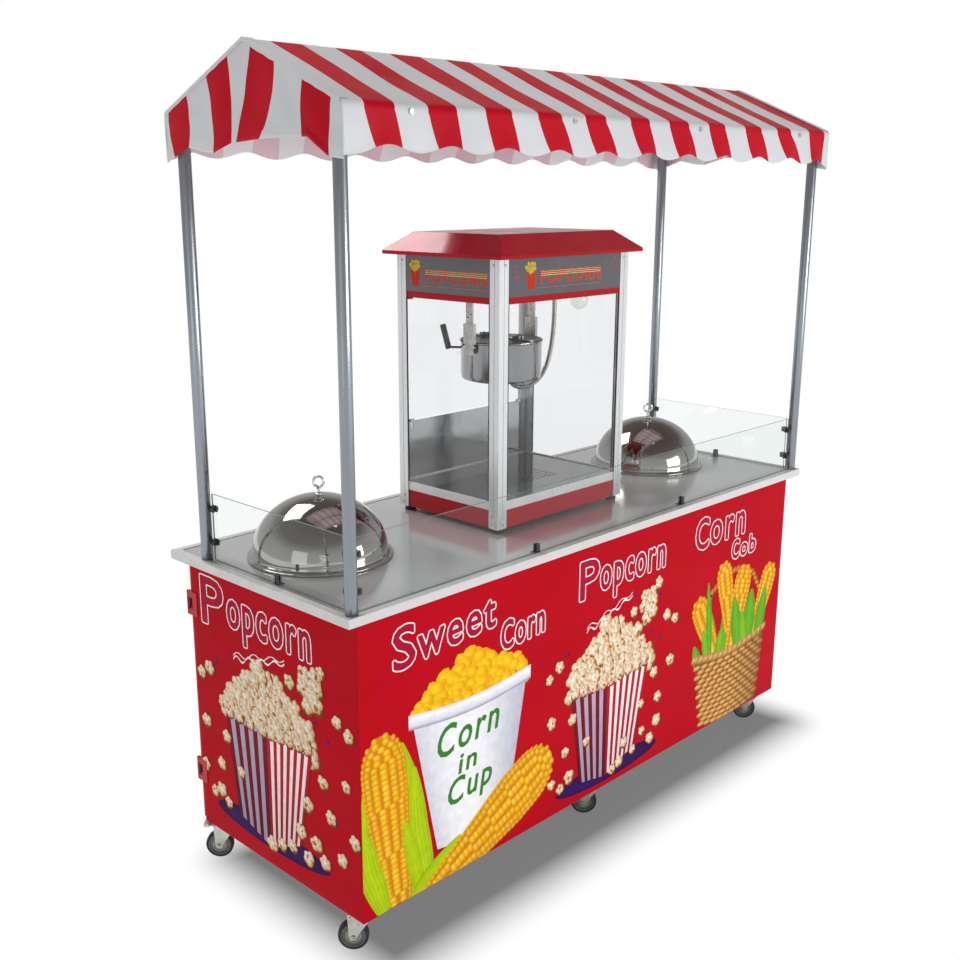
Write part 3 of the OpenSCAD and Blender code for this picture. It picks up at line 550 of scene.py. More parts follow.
def finish_cloth(mesh, name, flat, **area):
    smooth(mesh, 60)
    obj = link(name, mesh, CLOTH)
    skin = obj.modifiers.new("thickness", "SOLIDIFY")
    skin.thickness = CLOTH_T
    skin.offset = -1
    skin.material_offset = 2
    skin.material_offset_rim = 0
    return obj


# the gable's stripe edges along Y in mm, back to front, at the hem, halfway up and at the roof
GABLE_EDGES = [
    (243, 243, 243), (210, 223, 225), (155, 145, 155), (65, 62, 80), (0, -6, 2), (-15, -50, -78),
    (-95, -140, -150), (-228, -227, -235), (-305, -308, -317), (-345, -345, -345),
]
# the gable's hem as (y, z) in mm
GABLE_HEM = [(-345, 1712), (-305, 1717), (-245, 1754), (-95, 1754), (0, 1749), (65, 1731), (100, 1733),
             (155, 1744), (210, 1725), (243, 1714)]


def roof_line(y):
    """Height of the roof slope at y, just under the cloth."""
    return (EAVE_Z + (RIDGE_Z - EAVE_Z) * (1 - abs(y - RIDGE_Y) / 0.294)) - 0.0008


def gable_cloth(side):
    """End wall of the canopy; its stripes fan in towards the ridge."""
    columns, picks = [], []
    rows = 22
    for k in range(len(GABLE_EDGES) - 1):
        for j in range(STRIPE_STEPS + (k == len(GABLE_EDGES) - 2)):
            t = j / STRIPE_STEPS
            low, middle, top = (lerp(a, b, t) for a, b in zip(GABLE_EDGES[k], GABLE_EDGES[k + 1]))
            z0, z1 = piecewise(GABLE_HEM, low) * MM, roof_line(top * MM)
            column = []
            for r in range(rows + 1):
                v = r / rows
                y = (low * (1 - v) * (1 - 2 * v) + middle * 4 * v * (1 - v) + top * v * (2 * v - 1)) * MM
                free = math.sin(math.pi * min(1.0, (1 - v) * 1.15)) ** 2 if v > 0.1 else 0.6
                bulge = 0.0026 * math.sin(low * 0.043)
                bulge += 0.0022 * noise.noise(Vector((y * 9, v * 3, side)))
                column.append((side * (CANOPY_X + free * bulge), y, lerp(z0, z1, v)))
            columns.append(column)
            picks.append(1 - k % 2)
    if side > 0:
        columns = [column[::-1] for column in columns]
    name = "gable_cloth_left" if side < 0 else "gable_cloth_right"
    return finish_cloth(grid_mesh(name, columns, picks), name, flat=(0.588, 0.213), area=0.088)


def gable_seams(side):
    """Welded seam band that folds over each sloping roof edge."""
    verts, faces = [], []
    x_in, x_out = side * (CANOPY_X - 0.024), side * (CANOPY_X + 0.0006)
    count = 60
    for i in range(count + 1):
        y = lerp(FRONT_Y + 0.004, BACK_Y - 0.004, i / count)
        z = roof_line(y) + 0.0016
        waver = 0.0006 * math.sin(i * 1.7)
        verts += [(x_in + waver, y, z + 0.0006), (x_out, y, z + 0.0006), (x_out, y, z - 0.008 + waver)]
        if i < count:
            a = 3 * i
            faces += [(a, a + 1, a + 4, a + 3), (a + 1, a + 2, a + 5, a + 4)]
    if side < 0:
        faces = [face[::-1] for face in faces]
    name = "gable_seam_left" if side < 0 else "gable_seam_right"
    obj = link(name, mesh_of(name, verts, faces), [M["cloth_white"]])
    skin = obj.modifiers.new("thickness", "SOLIDIFY")
    skin.thickness = 0.0006
    skin.offset = 1


cover = roof_cloth()
for gable_side in (-1, 1):
    gable_cloth(gable_side)
for gable_side in (-1, 1):
    gable_seams(gable_side)
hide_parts("canopy_cover")

# ---------------------------------------------------------------- printed artwork

BASE_LIFT, LAYER = 0.00002, 0.000003


def ink(r, g, b):
    """Linear colour of an sRGB triple in 0..255."""
    def one(c):
        c /= 255
        return c / 12.92 if c <= 0.04045 else ((c + 0.055) / 1.055) ** 2.4
    return (one(r), one(g), one(b), 1.0)


def blend(a, b, t):
    """An ink between two inks."""
    return tuple(lerp(x, y, t) for x, y in zip(a, b))


class Artwork:
    """Flat shapes in mm on a panel, each layer a hair above the one before.

    place turns (u, v, lift) into a point; nothing is drawn below low or left of left.
    """

    def __init__(self, place, low=0.0, left=-1e4):
        self.place = lambda u, v, lift: place(max(u, left), max(v, low), lift)
        self.verts, self.faces, self.inks, self.level = [], [], [], 0

    def rise(self):
        """Moves on to the next layer and gives its height over the panel."""
        self.level += 1
        return BASE_LIFT + LAYER * self.level

    def shape(self, points, inks):
        """A polygon with one ink, or one ink for each corner."""
        if isinstance(inks[0], float):
            inks = [inks] * len(points)
        lift = self.rise()
        start = len(self.verts)
        self.verts += [self.place(u, v, lift) for u, v in points]
        self.faces.append(tuple(range(start, start + len(points))))
        self.inks += list(inks)

    def fan(self, centre, ring, inner, outer):
        """A closed ring round a centre, shaded from inner to outer ink."""
        lift = self.rise()
        for p, q, a, b in zip(ring, ring[1:] + ring[:1], outer, outer[1:] + outer[:1]):
            start = len(self.verts)
            self.verts += [self.place(*w, lift) for w in (centre, p, q)]
            self.faces.append((start, start + 1, start + 2))
            self.inks += [inner, a, b]

    def blob(self, centre, rx, ry, inner, outer, turn=0.0, sides=12, square=0.0, light=(-0.3, 0.35)):
        """A shaded oval; square pushes it towards a rounded rectangle."""
        ring, outers = [], []
        c, s = math.cos(turn), math.sin(turn)
        for i in range(sides):
            a = TAU * i / sides
            k = 1 + square * abs(math.sin(2 * a))
            x, y = rx * math.cos(a) * k, ry * math.sin(a) * k
            ring.append((centre[0] + x * c - y * s, centre[1] + x * s + y * c))
            facing = math.cos(a + turn) * light[0] + math.sin(a + turn) * light[1]
            outers.append(blend(outer, inner, max(0.0, facing) * 1.3))
        heart = (centre[0] + light[0] * rx * 0.5, centre[1] + light[1] * ry * 0.5)
        self.fan(heart, ring, inner, outers)

    def strips(self, lines, inks):
        """Bands between neighbouring polylines, one ink for each polyline."""
        lift = self.rise()
        for (one, two), (a, b) in zip(zip(lines, lines[1:]), zip(inks, inks[1:])):
            for i in range(len(one) - 1):
                start = len(self.verts)
                self.verts += [self.place(*w, lift) for w in (one[i], two[i], two[i + 1], one[i + 1])]
                self.faces.append((start, start + 1, start + 2, start + 3))
                self.inks += [a, b, b, a]

    def word(self, text, box, fill, outline, rise=0.0, lean=0.0, stroke=2.2, border=5.5):
        """A word stretched into box (u0, u1, v0, v1), dark inside a light outline."""
        u0, u1, v0, v1 = box
        verts, faces, (lx, hx, ly, hy) = letters(text)
        flat = []
        for x, y in verts:
            s, t = (x - lx) / (hx - lx), (y - ly) / (hy - ly)
            v = lerp(v0, v1, t) + rise * s
            flat.append((lerp(u0, u1, s) + lean * (v - v0), v))
        for reach, colour in ((border, outline), (stroke, fill)):
            if colour is None:
                continue
            for k in range(12):
                du, dv = reach * math.cos(TAU * k / 12), reach * math.sin(TAU * k / 12)
                lift = self.rise()
                start = len(self.verts)
                self.verts += [self.place(u + du, v + dv, lift) for u, v in flat]
                for face in faces:
                    self.faces.append(tuple(start + i for i in face))
                    self.inks += [colour] * len(face)

    def build(self, name):
        """Makes the piece, with its inks on the mesh and slivers left out."""
        mesh = mesh_of(name, self.verts, self.faces)
        layer = mesh.color_attributes.new("ink", "FLOAT_COLOR", "CORNER")
        layer.data.foreach_set("color", [c for colour in self.inks for c in colour])
        bm = bmesh.new()
        bm.from_mesh(mesh)
        slivers = [face for face in bm.faces if face.calc_area() < 1e-9]
        bmesh.ops.delete(bm, geom=slivers, context="FACES")
        bm.to_mesh(mesh)
        bm.free()
        return link(name, mesh, [M["print"]])


WORDS = {}


def letters(text):
    """Plain letters as flat mesh data, with the box round them."""
    if text not in WORDS:
        curve = bpy.data.curves.new("letters", "FONT")
        curve.body = text
        curve.size = 1.0
        curve.fill_mode = "FRONT"
        curve.resolution_u = 3
        curve.space_character = 1.16
        obj = bpy.data.objects.new("letters", curve)
        bpy.context.scene.collection.objects.link(obj)
        bpy.context.view_layer.update()
        filled = obj.evaluated_get(bpy.context.evaluated_depsgraph_get())
        mesh = bpy.data.meshes.new_from_object(filled)
        verts = [(v.co.x, v.co.y) for v in mesh.vertices]
        rings = [(list(p.vertices), p.normal.z > 0) for p in mesh.polygons]
        faces = [ring if upright else ring[::-1] for ring, upright in rings]
        (low_x, high_x), (low_y, high_y) = ((min(side), max(side)) for side in zip(*verts))
        WORDS[text] = (verts, faces, (low_x, high_x, low_y, high_y))
        bpy.data.objects.remove(obj)
        bpy.data.meshes.remove(mesh)
        bpy.data.curves.remove(curve)
    return WORDS[text]


WHITE = ink(245, 245, 245)
MAROON = ink(176, 14, 52)
PURPLE = ink(72, 34, 110)
CREAM, CREAM_RIM = ink(248, 240, 216), ink(204, 148, 82)
CREAM_DIM, TAN = ink(232, 214, 180), ink(178, 118, 52)
CORN, CORN_RIM = ink(255, 214, 34), ink(234, 154, 8)
LEAF, LEAF_DARK = ink(200, 222, 22), ink(140, 180, 8)
GREEN, GREEN_DARK = ink(122, 200, 44), ink(44, 128, 28)
SHADE_BROWN, TOAST, TOAST_RIM = ink(120, 60, 30), ink(214, 132, 46), ink(146, 78, 28)
CUP_GREEN = ink(58, 132, 44)


def puff(art, at, size, rng):
    """One popped kernel: a few pale lobes round a toasted heart."""
    turn = rng.uniform(0, TAU)
    heart = (at[0] + size * 0.06, at[1] - size * 0.1)
    art.blob(heart, size * 0.58, size * 0.5, TAN, SHADE_BROWN, turn, 10)
    for i in range(5):
        a = turn + TAU * i / 5 + rng.uniform(-0.25, 0.25)
        r = size * rng.uniform(0.24, 0.34)
        where = (at[0] + math.cos(a) * size * 0.27, at[1] + math.sin(a) * size * 0.25)
        art.blob(where, r, r * rng.uniform(0.75, 1.0), CREAM, CREAM_RIM, a, 10)
    art.blob(at, size * 0.2, size * 0.17, WHITE, CREAM_DIM, turn, 9)
    if rng.random() < 0.6:
        spot = (at[0] + rng.uniform(-0.2, 0.2) * size, at[1] + rng.uniform(-0.25, 0.1) * size)
        big = size * rng.uniform(0.08, 0.22)
        art.blob(spot, big, big * 0.65, TOAST, TOAST_RIM, turn, 8)


def cluster(art, at, scale, rng):
    """A big burst of popped kernels in the air."""
    for du, dv in ((-18, 30), (16, 34), (-4, 12), (22, 8), (-22, 2), (4, -12), (-8, -34), (18, -22)):
        puff(art, (at[0] + du * scale, at[1] + dv * scale), 40 * scale * rng.uniform(0.9, 1.1), rng)


def heap(art, u0, u1, v0, v1, size, rng, draw):
    """Kernels piled in a rounded heap, the back ones first."""
    rows = max(3, int((v1 - v0) / (size * 0.46)))
    for r in range(rows, -1, -1):
        t = r / rows
        v = lerp(v0, v1 - size * 0.4, t)
        half = (u1 - u0) / 2 * max(0.14, 1 - t ** 1.6) ** 0.7
        count = max(2, int(2 * half / (size * 0.66)))
        base = art.level
        for i in range(count):
            art.level = base + (i % 2) * 9
            u = (u0 + u1) / 2 + half * (2 * (i + 0.5) / count - 1) + rng.uniform(-0.2, 0.2) * size
            draw(art, (u, v + rng.uniform(-0.3, 0.3) * size), size * rng.uniform(0.8, 1.3), rng)
        art.level = base + 18


def kernel(art, at, size, rng):
    """One kernel of sweetcorn."""
    art.blob(at, size * 0.56, size * 0.44, CORN, CORN_RIM, rng.uniform(-0.6, 0.6), 10, 0.12)


def band_face(art, quad, count, dark_a, dark_b, light):
    """A box face split in upright stripes; quad is top left, top right, bottom right, bottom left."""
    tl, tr, br, bl = quad
    for i in range(count):
        a, b = i / count, (i + 1) / count
        points = [[lerp(p[k], q[k], t) for k in (0, 1)] for p, q, t in
                  ((bl, br, a), (bl, br, b), (tl, tr, b), (tl, tr, a))]
        low, high = (dark_a, dark_b) if i % 2 == 0 else (blend(light, dark_a, 0.25), light)
        art.shape(points, [low, low, high, high])


def zigzag_top(art, quad, count, light):
    """Scalloped top edge of a box face."""
    tl, tr = quad[0], quad[1]
    for i in range(count):
        t = (i + 0.5) / count
        at = [lerp(tl[k], tr[k], t) for k in (0, 1)]
        art.blob(at, abs(tr[0] - tl[0]) / count * 0.52, 7, light, light, 0, 10)


def popcorn_box(art, left, right, heap_box, plate, rng):
    """Striped paper box full of popcorn, standing on a dark oval."""
    u, v, rx, ry = plate
    art.blob((u, v), rx, ry, ink(58, 24, 104), ink(52, 10, 70), 0, 40, 0, (0, 0))
    art.blob((u - 20, v - 4), rx * 0.75, ry * 0.6, ink(34, 22, 84), ink(54, 18, 96), 0, 40, 0, (0, 0))
    heap(art, *heap_box, 42, rng, puff)
    band_face(art, left, 9, ink(88, 10, 30), ink(126, 20, 42), ink(186, 170, 192))
    band_face(art, right, 13, ink(150, 10, 30), ink(196, 26, 44), ink(255, 246, 246))
    zigzag_top(art, left, 9, ink(190, 176, 206))
    zigzag_top(art, right, 13, ink(250, 236, 236))
    for face, lift, shares in ((left, 8, (0.1, 0.35, 0.6, 0.9)), (right, 9, (0.1, 0.3, 0.5, 0.7, 0.9))):
        (u0, v0), (u1, v1) = face[:2]
        for t in shares:
            puff(art, (lerp(u0, u1, t), lerp(v0, v1, t) + lift), 33, rng)


def diamonds(art, places):
    """Small dark sparks."""
    for u, v in places:
        art.level = 0
        art.shape([(u - 6, v), (u, v - 9), (u + 6, v), (u, v + 9)], PURPLE)


def swash(art, u0, u1, v0, rise):
    """Looping pen line in place of a subtitle."""
    for k, (thick, shift) in enumerate(((2.6, 0), (1.6, 9))):
        upper, lower = [], []
        for i in range(61):
            t = i / 60
            u = lerp(u0, u1, t)
            v = v0 + rise * t + shift + 8 * math.sin(t * TAU * (4 - k)) * (1 - 0.4 * t)
            w = thick * (0.5 + 0.5 * abs(math.cos(t * TAU * 3)))
            upper.append((u, v + w))
            lower.append((u, v - w))
        art.strips([lower, upper], [WHITE, WHITE])


def scatter(art, places, size, rng):
    """Single popped kernels in the air and on the ground."""
    base = art.level
    for u, v in places:
        art.level = base
        puff(art, (u, v), size * rng.uniform(0.8, 1.15), rng)


def leaf(art, spine, width, light, dark):
    """A long husk leaf along spine points, widest in the middle, with fine ribs."""
    count, ribs = 24, 13
    rows = []
    for i in range(count + 1):
        t = i / count
        k = min(len(spine) - 2, int(t * (len(spine) - 1)))
        s = t * (len(spine) - 1) - k
        p, q = spine[k], spine[k + 1]
        u, v = lerp(p[0], q[0], s), lerp(p[1], q[1], s)
        d = Vector((q[0] - p[0], q[1] - p[1])).normalized()
        rows.append((u, v, -d.y, d.x, width * math.sin(math.pi * (0.04 + 0.78 * t)) ** 0.8 / 2))
    lines, inks = [], []
    for j in range(ribs):
        o = 2 * j / (ribs - 1) - 1
        lines.append([(u + nx * w * o, v + ny * w * o) for u, v, nx, ny, w in rows])
        inks.append(blend(light, dark, 0.12 + 0.35 * (j % 2) + 0.35 * abs(o)))
    art.strips(lines[::-1], inks[::-1])


def cob(art, tip, base, width, size, rng, taper=0.62):
    """A cob of rounded kernels between tip and base."""
    axis = Vector((base[0] - tip[0], base[1] - tip[1]))
    length = axis.length
    d = axis / length
    n = Vector((-d.y, d.x))
    turn = math.atan2(d.y, d.x)
    outline, half = [], width / 2
    for i in range(25):
        t = i / 24
        nose = math.sqrt(max(0.0, 1 - (1 - min(1.0, t / 0.2 + 0.02)) ** 2))
        outline.append((t, half * nose * lerp(1.0, taper, max(0.0, t - 0.35) / 0.65)))
    sides = [(t, w) for t, w in outline] + [(t, -w) for t, w in reversed(outline)]
    ring = [(tip[0] + d.x * t * length + n.x * w, tip[1] + d.y * t * length + n.y * w) for t, w in sides]
    art.shape(ring[::-1] if n.cross(d) > 0 else ring, ink(216, 136, 8))
    rows = int(length / (size * 0.74))
    floor = art.level
    for r in range(rows):
        t = (r + 0.5) / rows
        w = piecewise(outline, t)
        count = max(2, round(2 * w / size))
        for c in range(count):
            art.level = floor + 2 * (r % 2) + c % 2
            o = 2 * (c + 0.5) / count - 1
            bend = math.sin(o * math.pi / 2)
            u = tip[0] + d.x * t * length + n.x * w * bend
            v = tip[1] + d.y * t * length + n.y * w * bend
            squeeze = max(0.45, math.cos(o * math.pi / 2) ** 0.5)
            glow = blend(CORN, ink(255, 228, 90), rng.uniform(0, 0.8))
            art.blob((u, v), size * 0.44, size * 0.56 * squeeze, blend(glow, CORN_RIM, 0.5 * abs(o)),
                     blend(CORN_RIM, ink(196, 110, 0), abs(o)), turn, 9, 0.16)
    art.level = floor + 4


def cup(art, rng):
    """Paper cup full of sweetcorn."""
    heap(art, -712, -328, 528, 640, 34, rng, kernel)
    columns, steps = 16, 12
    lines, inks = [], []
    for c in range(columns + 1):
        t = c / columns
        line = []
        for r in range(steps + 1):
            s = r / steps
            left, right = lerp(-707, -637, s), lerp(-338, -400, s)
            sag = 16 * math.sin(math.pi * t)
            line.append((lerp(left, right, t), lerp(512, 185, s) - sag * (0.8 - 0.1 * s)))
        lines.append(line)
        shine = 0.5 + 0.5 * math.cos((t - 0.42) * math.pi * 1.25)
        inks.append(blend(ink(176, 176, 198), ink(248, 248, 252), shine))
    art.strips(lines, inks)
    shares = [i / 30 for i in range(31)]
    lip_low = [(lerp(-722, -320, t), lerp(513, 512, t) - 17 * math.sin(math.pi * t)) for t in shares]
    lip = [[(u, v + k) for u, v in lip_low] for k in (0, 9, 27, 36)]
    art.strips(lip, [ink(150, 150, 176), ink(226, 226, 236), ink(252, 252, 255), ink(214, 214, 226)])
    for text, box, drift in (("Corn", (-640, -440, 408, 484), 14), ("in", (-568, -512, 350, 396), 3),
                             ("Cup", (-610, -466, 256, 340), 14)):
        art.word(text, box, CUP_GREEN, None, drift, 0.18, 1.6)


def basket(art, rng):
    """Woven basket with a twisted rim and a bent handle."""
    arch = [(455, 330), (470, 520), (545, 562), (620, 567), (700, 535), (745, 470), (768, 350)]
    for (u0, v0), (u1, v1) in zip(arch, arch[1:]):
        n = max(2, int(math.hypot(u1 - u0, v1 - v0) / 16))
        for i in range(n):
            art.level = i % 2
            t = (i + 0.5) / n
            art.blob((lerp(u0, u1, t), lerp(v0, v1, t)), 14, 8, ink(226, 158, 70), ink(140, 78, 26),
                     math.atan2(v1 - v0, u1 - u0) + 0.6, 9)
    leaves = [((395, 380), (425, 300), 40), ((470, 470), (500, 300), 54), ((560, 470), (560, 300), 60),
              ((640, 560), (600, 300), 58), ((700, 480), (680, 300), 70), ((780, 470), (740, 300), 54),
              ((455, 560), (480, 320), 30), ((600, 480), (640, 300), 60)]
    cobs = [((810, 538), (722, 325), 76), ((530, 602), (585, 380), 72), ((400, 520), (508, 320), 76),
            ((657, 568), (592, 310), 86)]
    for first_leaf, last_leaf, pair in ((0, 3, cobs[:2]), (3, 5, cobs[2:]), (5, 8, [])):
        for top, low, width in leaves[first_leaf:last_leaf]:
            leaf(art, [top, low], width, GREEN, GREEN_DARK)
        for tip, base, width in pair:
            cob(art, tip, base, width, 19, rng)
    for top, low, width in (((440, 420), (470, 300), 34), ((540, 400), (520, 300), 46),
                            ((650, 420), (670, 300), 50)):
        leaf(art, [top, low], width, blend(GREEN, LEAF, 0.4), GREEN_DARK)
    rows, columns = 13, 9
    art.shape([(445, 112), (600, 96), (755, 106), (781, 318), (592, 296), (404, 322)], ink(138, 82, 36))
    floor = art.level
    for r in range(rows):
        s = (r + 0.5) / rows
        for c in range(columns):
            art.level = floor + 2 * (r % 2) + c % 2
            t = min(0.97, max(0.03, (c + 0.25 + 0.5 * (r % 2)) / columns))
            u = lerp(lerp(404, 447, s), lerp(781, 753, s), t)
            v = lerp(316, 112, s) - 16 * math.sin(math.pi * t)
            tone = 1 - 0.5 * max(0.0, t - 0.5) * 2
            cane = blend(ink(96, 56, 24), ink(240, 196, 118), tone)
            rim = blend(ink(70, 40, 16), ink(178, 112, 52), tone)
            art.blob((u, v), 19, 6.6, cane, rim, 0.03, 10, 0.14)
    for i in range(30):
        art.level = floor + 6 + i % 2
        t = (i + 0.5) / 30
        u, v = lerp(392, 790, t), 338 - 26 * math.sin(math.pi * t)
        art.blob((u, v), 17, 9, ink(236, 190, 118), ink(146, 88, 36), 0.75, 10)


# outer faces of the printed panels, and their lower edge in mm
PRINT_Y, PRINT_X, PRINT_LOW = -0.308, 0.862, 101.0


def word_pair(art, first, rest, first_box, rest_box, rise):
    """A word with a tall first letter."""
    art.word(first, first_box, MAROON, WHITE, rise * 0.3)
    shifted = (rest_box[0], rest_box[1], rest_box[2] + rise * 0.3, rest_box[3] + rise * 0.3)
    art.word(rest, shifted, MAROON, WHITE, rise)


def front_artwork():
    """Cup and cobs, box of popcorn and basket, each under its title."""
    rng = random.Random(11)
    art = Artwork(lambda u, v, lift: (u * MM, PRINT_Y - lift, v * MM), PRINT_LOW, -861.0)
    leaf(art, [(-750, 492), (-730, 300), (-702, 100)], 118, LEAF, LEAF_DARK)
    leaf(art, [(-708, 420), (-700, 260), (-668, 102)], 70, LEAF, LEAF_DARK)
    leaf(art, [(-846, 470), (-855, 330), (-852, 200)], 26, LEAF, LEAF_DARK)
    cob(art, (-806, 530), (-757, 100), 122, 18, rng)
    leaf(art, [(-858, 330), (-842, 220), (-800, 101)], 62, LEAF, LEAF_DARK)
    leaf(art, [(-740, 300), (-712, 200), (-690, 101)], 44, LEAF, LEAF_DARK)
    cup(art, rng)
    leaf(art, [(-560, 190), (-640, 140), (-705, 102)], 50, LEAF, LEAF_DARK)
    cob(art, (-238, 282), (-672, 72), 150, 20, rng, 0.42)
    art.level = 0
    popcorn_box(art, [(-160, 405), (-12, 395), (-12, 130), (-120, 150)],
                [(-12, 395), (170, 410), (118, 175), (-12, 130)],
                (-178, 188, 408, 580), (5, 147, 220, 32), rng)
    scatter(art, [(-248, 482), (-210, 505), (-238, 360), (-155, 345), (-182, 262), (-95, 262), (95, 570),
                  (205, 625), (250, 520), (290, 500), (275, 380), (198, 365), (143, 288), (220, 285),
                  (70, 200), (110, 165), (150, 205), (190, 170), (220, 215), (20, 138), (50, 150),
                  (-235, 190), (-200, 165), (-165, 185)], 32, rng)
    cluster(art, (162, 572), 1.0, rng)
    diamonds(art, [(-175, 530), (100, 615), (180, 490), (225, 460), (215, 590)])
    art.level = 0
    basket(art, rng)
    art.level = 0
    word_pair(art, "S", "weet", (-762, -700, 662, 758), (-690, -446, 664, 730), 14)
    word_pair(art, "C", "orn", (-424, -384, 612, 682), (-374, -272, 612, 664), 6)
    word_pair(art, "P", "opcorn", (-135, -62, 660, 758), (-52, 228, 636, 728), 0)
    word_pair(art, "C", "orn", (378, 440, 672, 762), (452, 632, 674, 742), 0)
    word_pair(art, "C", "ob", (572, 608, 604, 660), (618, 700, 604, 658), 0)
    swash(art, -105, 85, 566, 52)
    art.build("front_artwork")


def end_artwork(name, place):
    """Box of popcorn under its title, on an end panel."""
    rng = random.Random(5)
    art = Artwork(place, PRINT_LOW)
    popcorn_box(art, [(-190, 440), (-25, 436), (-25, 145), (-150, 185)],
                [(-25, 436), (145, 450), (95, 200), (-25, 145)],
                (-212, 166, 440, 604), (-25, 175, 222, 34), rng)
    scatter(art, [(-285, 515), (-248, 537), (-275, 390), (-190, 375), (-217, 293), (-135, 300), (-290, 265),
                  (70, 600), (182, 655), (235, 557), (273, 537), (260, 415), (180, 395), (205, 318),
                  (122, 318), (286, 290), (242, 228), (-255, 205), (-225, 220), (-195, 195), (-20, 158),
                  (18, 172), (60, 185), (95, 240), (120, 180), (150, 230), (180, 195)], 34, rng)
    cluster(art, (144, 600), 1.1, rng)
    diamonds(art, [(-218, 560), (160, 530), (202, 500), (225, 310)])
    word_pair(art, "P", "opcorn", (-268, -178, 652, 768), (-160, 150, 636, 736), 0)
    swash(art, -145, 55, 590, 46)
    art.build(name)


front_artwork()
end_artwork("left_artwork", lambda u, v, lift: (-PRINT_X - lift, -u * MM, v * MM))
end_artwork("right_artwork", lambda u, v, lift: (PRINT_X + lift, u * MM, v * MM))

# ---------------------------------------------------------------- turned and swept pieces


def turned(name, profile, materials, at, axis=(0, 0, 1), sides=72, body="cart", picks=None):
    """A piece turned round an axis from (radius, height) points, with a material index for each step."""
    turn = Vector((0, 0, 1)).rotation_difference(Vector(axis)).to_matrix()
    origin = Vector(at)
    rows = []
    for i in range(sides + 1):
        a = TAU * (i % sides) / sides
        rows.append([origin + turn @ Vector((r * math.cos(a), r * math.sin(a), h)) for r, h in profile])
    verts, faces, index = [p for row in rows for p in row], [], []
    n = len(profile)
    for i in range(sides):
        for j in range(n - 1):
            a = i * n + j
            faces.append((a, a + n, a + n + 1, a + 1))
            index.append(picks[j] if picks else 0)
    mesh = mesh_of(name, verts, faces, index)
    weld(mesh)
    smooth(mesh)
    return link(name, mesh, materials, body)


def weld(mesh):
    """Joins points that lie together, and turns every face outwards."""
    bm = bmesh.new()
    bm.from_mesh(mesh)
    bmesh.ops.remove_doubles(bm, verts=bm.verts, dist=1e-6)
    bmesh.ops.recalc_face_normals(bm, faces=bm.faces)
    bm.to_mesh(mesh)
    bm.free()


def arc(cx, cz, r, start, end, count):
    """Points of an arc in a (radius, height) profile, angles in degrees."""
    steps = [math.radians(lerp(start, end, i / count)) for i in range(count + 1)]
    return [(cx + r * math.cos(a), cz + r * math.sin(a)) for a in steps]


def ring_mesh(name, centre, normal, major, minor, material, body):
    """A round wire ring."""
    turn = Vector((0, 0, 1)).rotation_difference(Vector(normal)).to_matrix()
    sides, wire_sides = 48, 14
    columns = []
    for i in range(sides + 1):
        a = TAU * (i % sides) / sides
        column = []
        for j in range(wire_sides + 1):
            b = TAU * (j % wire_sides) / wire_sides
            r = major + minor * math.cos(b)
            wire = Vector((r * math.cos(a), r * math.sin(a), minor * math.sin(b)))
            column.append(Vector(centre) + turn @ wire)
        columns.append(column)
    mesh = grid_mesh(name, columns, [0] * sides)
    weld(mesh)
    mesh.shade_smooth()
    return link(name, mesh, [material], body)


def tube(name, points, radius, material):
    """A tube through points, on no body yet; radius is a function of the place along it, 0 to 1."""
    sides = 16
    columns, reference = [], Vector((0, 1, 0))
    for i, p in enumerate(points):
        d = (points[min(i + 1, len(points) - 1)] - points[max(i - 1, 0)]).normalized()
        side = reference.cross(d).normalized()
        up = d.cross(side)
        r = radius(i / (len(points) - 1))
        columns.append([p + side * r * math.cos(a) + up * r * math.sin(a)
                        for a in [TAU * (j % sides) / sides for j in range(sides + 1)]])
    for end in (0, -1):
        columns.insert(len(columns) if end else 0, [points[end]] * (sides + 1))
    mesh = grid_mesh(name, columns, [0] * (len(columns) - 1))
    weld(mesh)
    smooth(mesh, 50)
    return link(name, mesh, [material], None)


def eased(route, per):
    """Catmull-Rom points through a route."""
    out = []
    for i in range(len(route) - 1):
        p0, p1 = route[max(i - 1, 0)], route[i]
        p2, p3 = route[i + 1], route[min(i + 2, len(route) - 1)]
        for j in range(per):
            t = j / per
            out.append(0.5 * (2 * p1 + (p2 - p0) * t + (2 * p0 - 5 * p1 + 4 * p2 - p3) * t * t
                              + (3 * p1 - p0 - 3 * p2 + p3) * t ** 3))
    return out + [route[-1]]


# ---------------------------------------------------------------- domes

DOME_R, DOME_RIM_R, DOME_H, SHEET = 0.160, 0.172, 0.146, 0.0008
RING_TURN, RING_DROP, RING_R, RING_WIRE = math.radians(44), 0.015, 0.012, 0.0029


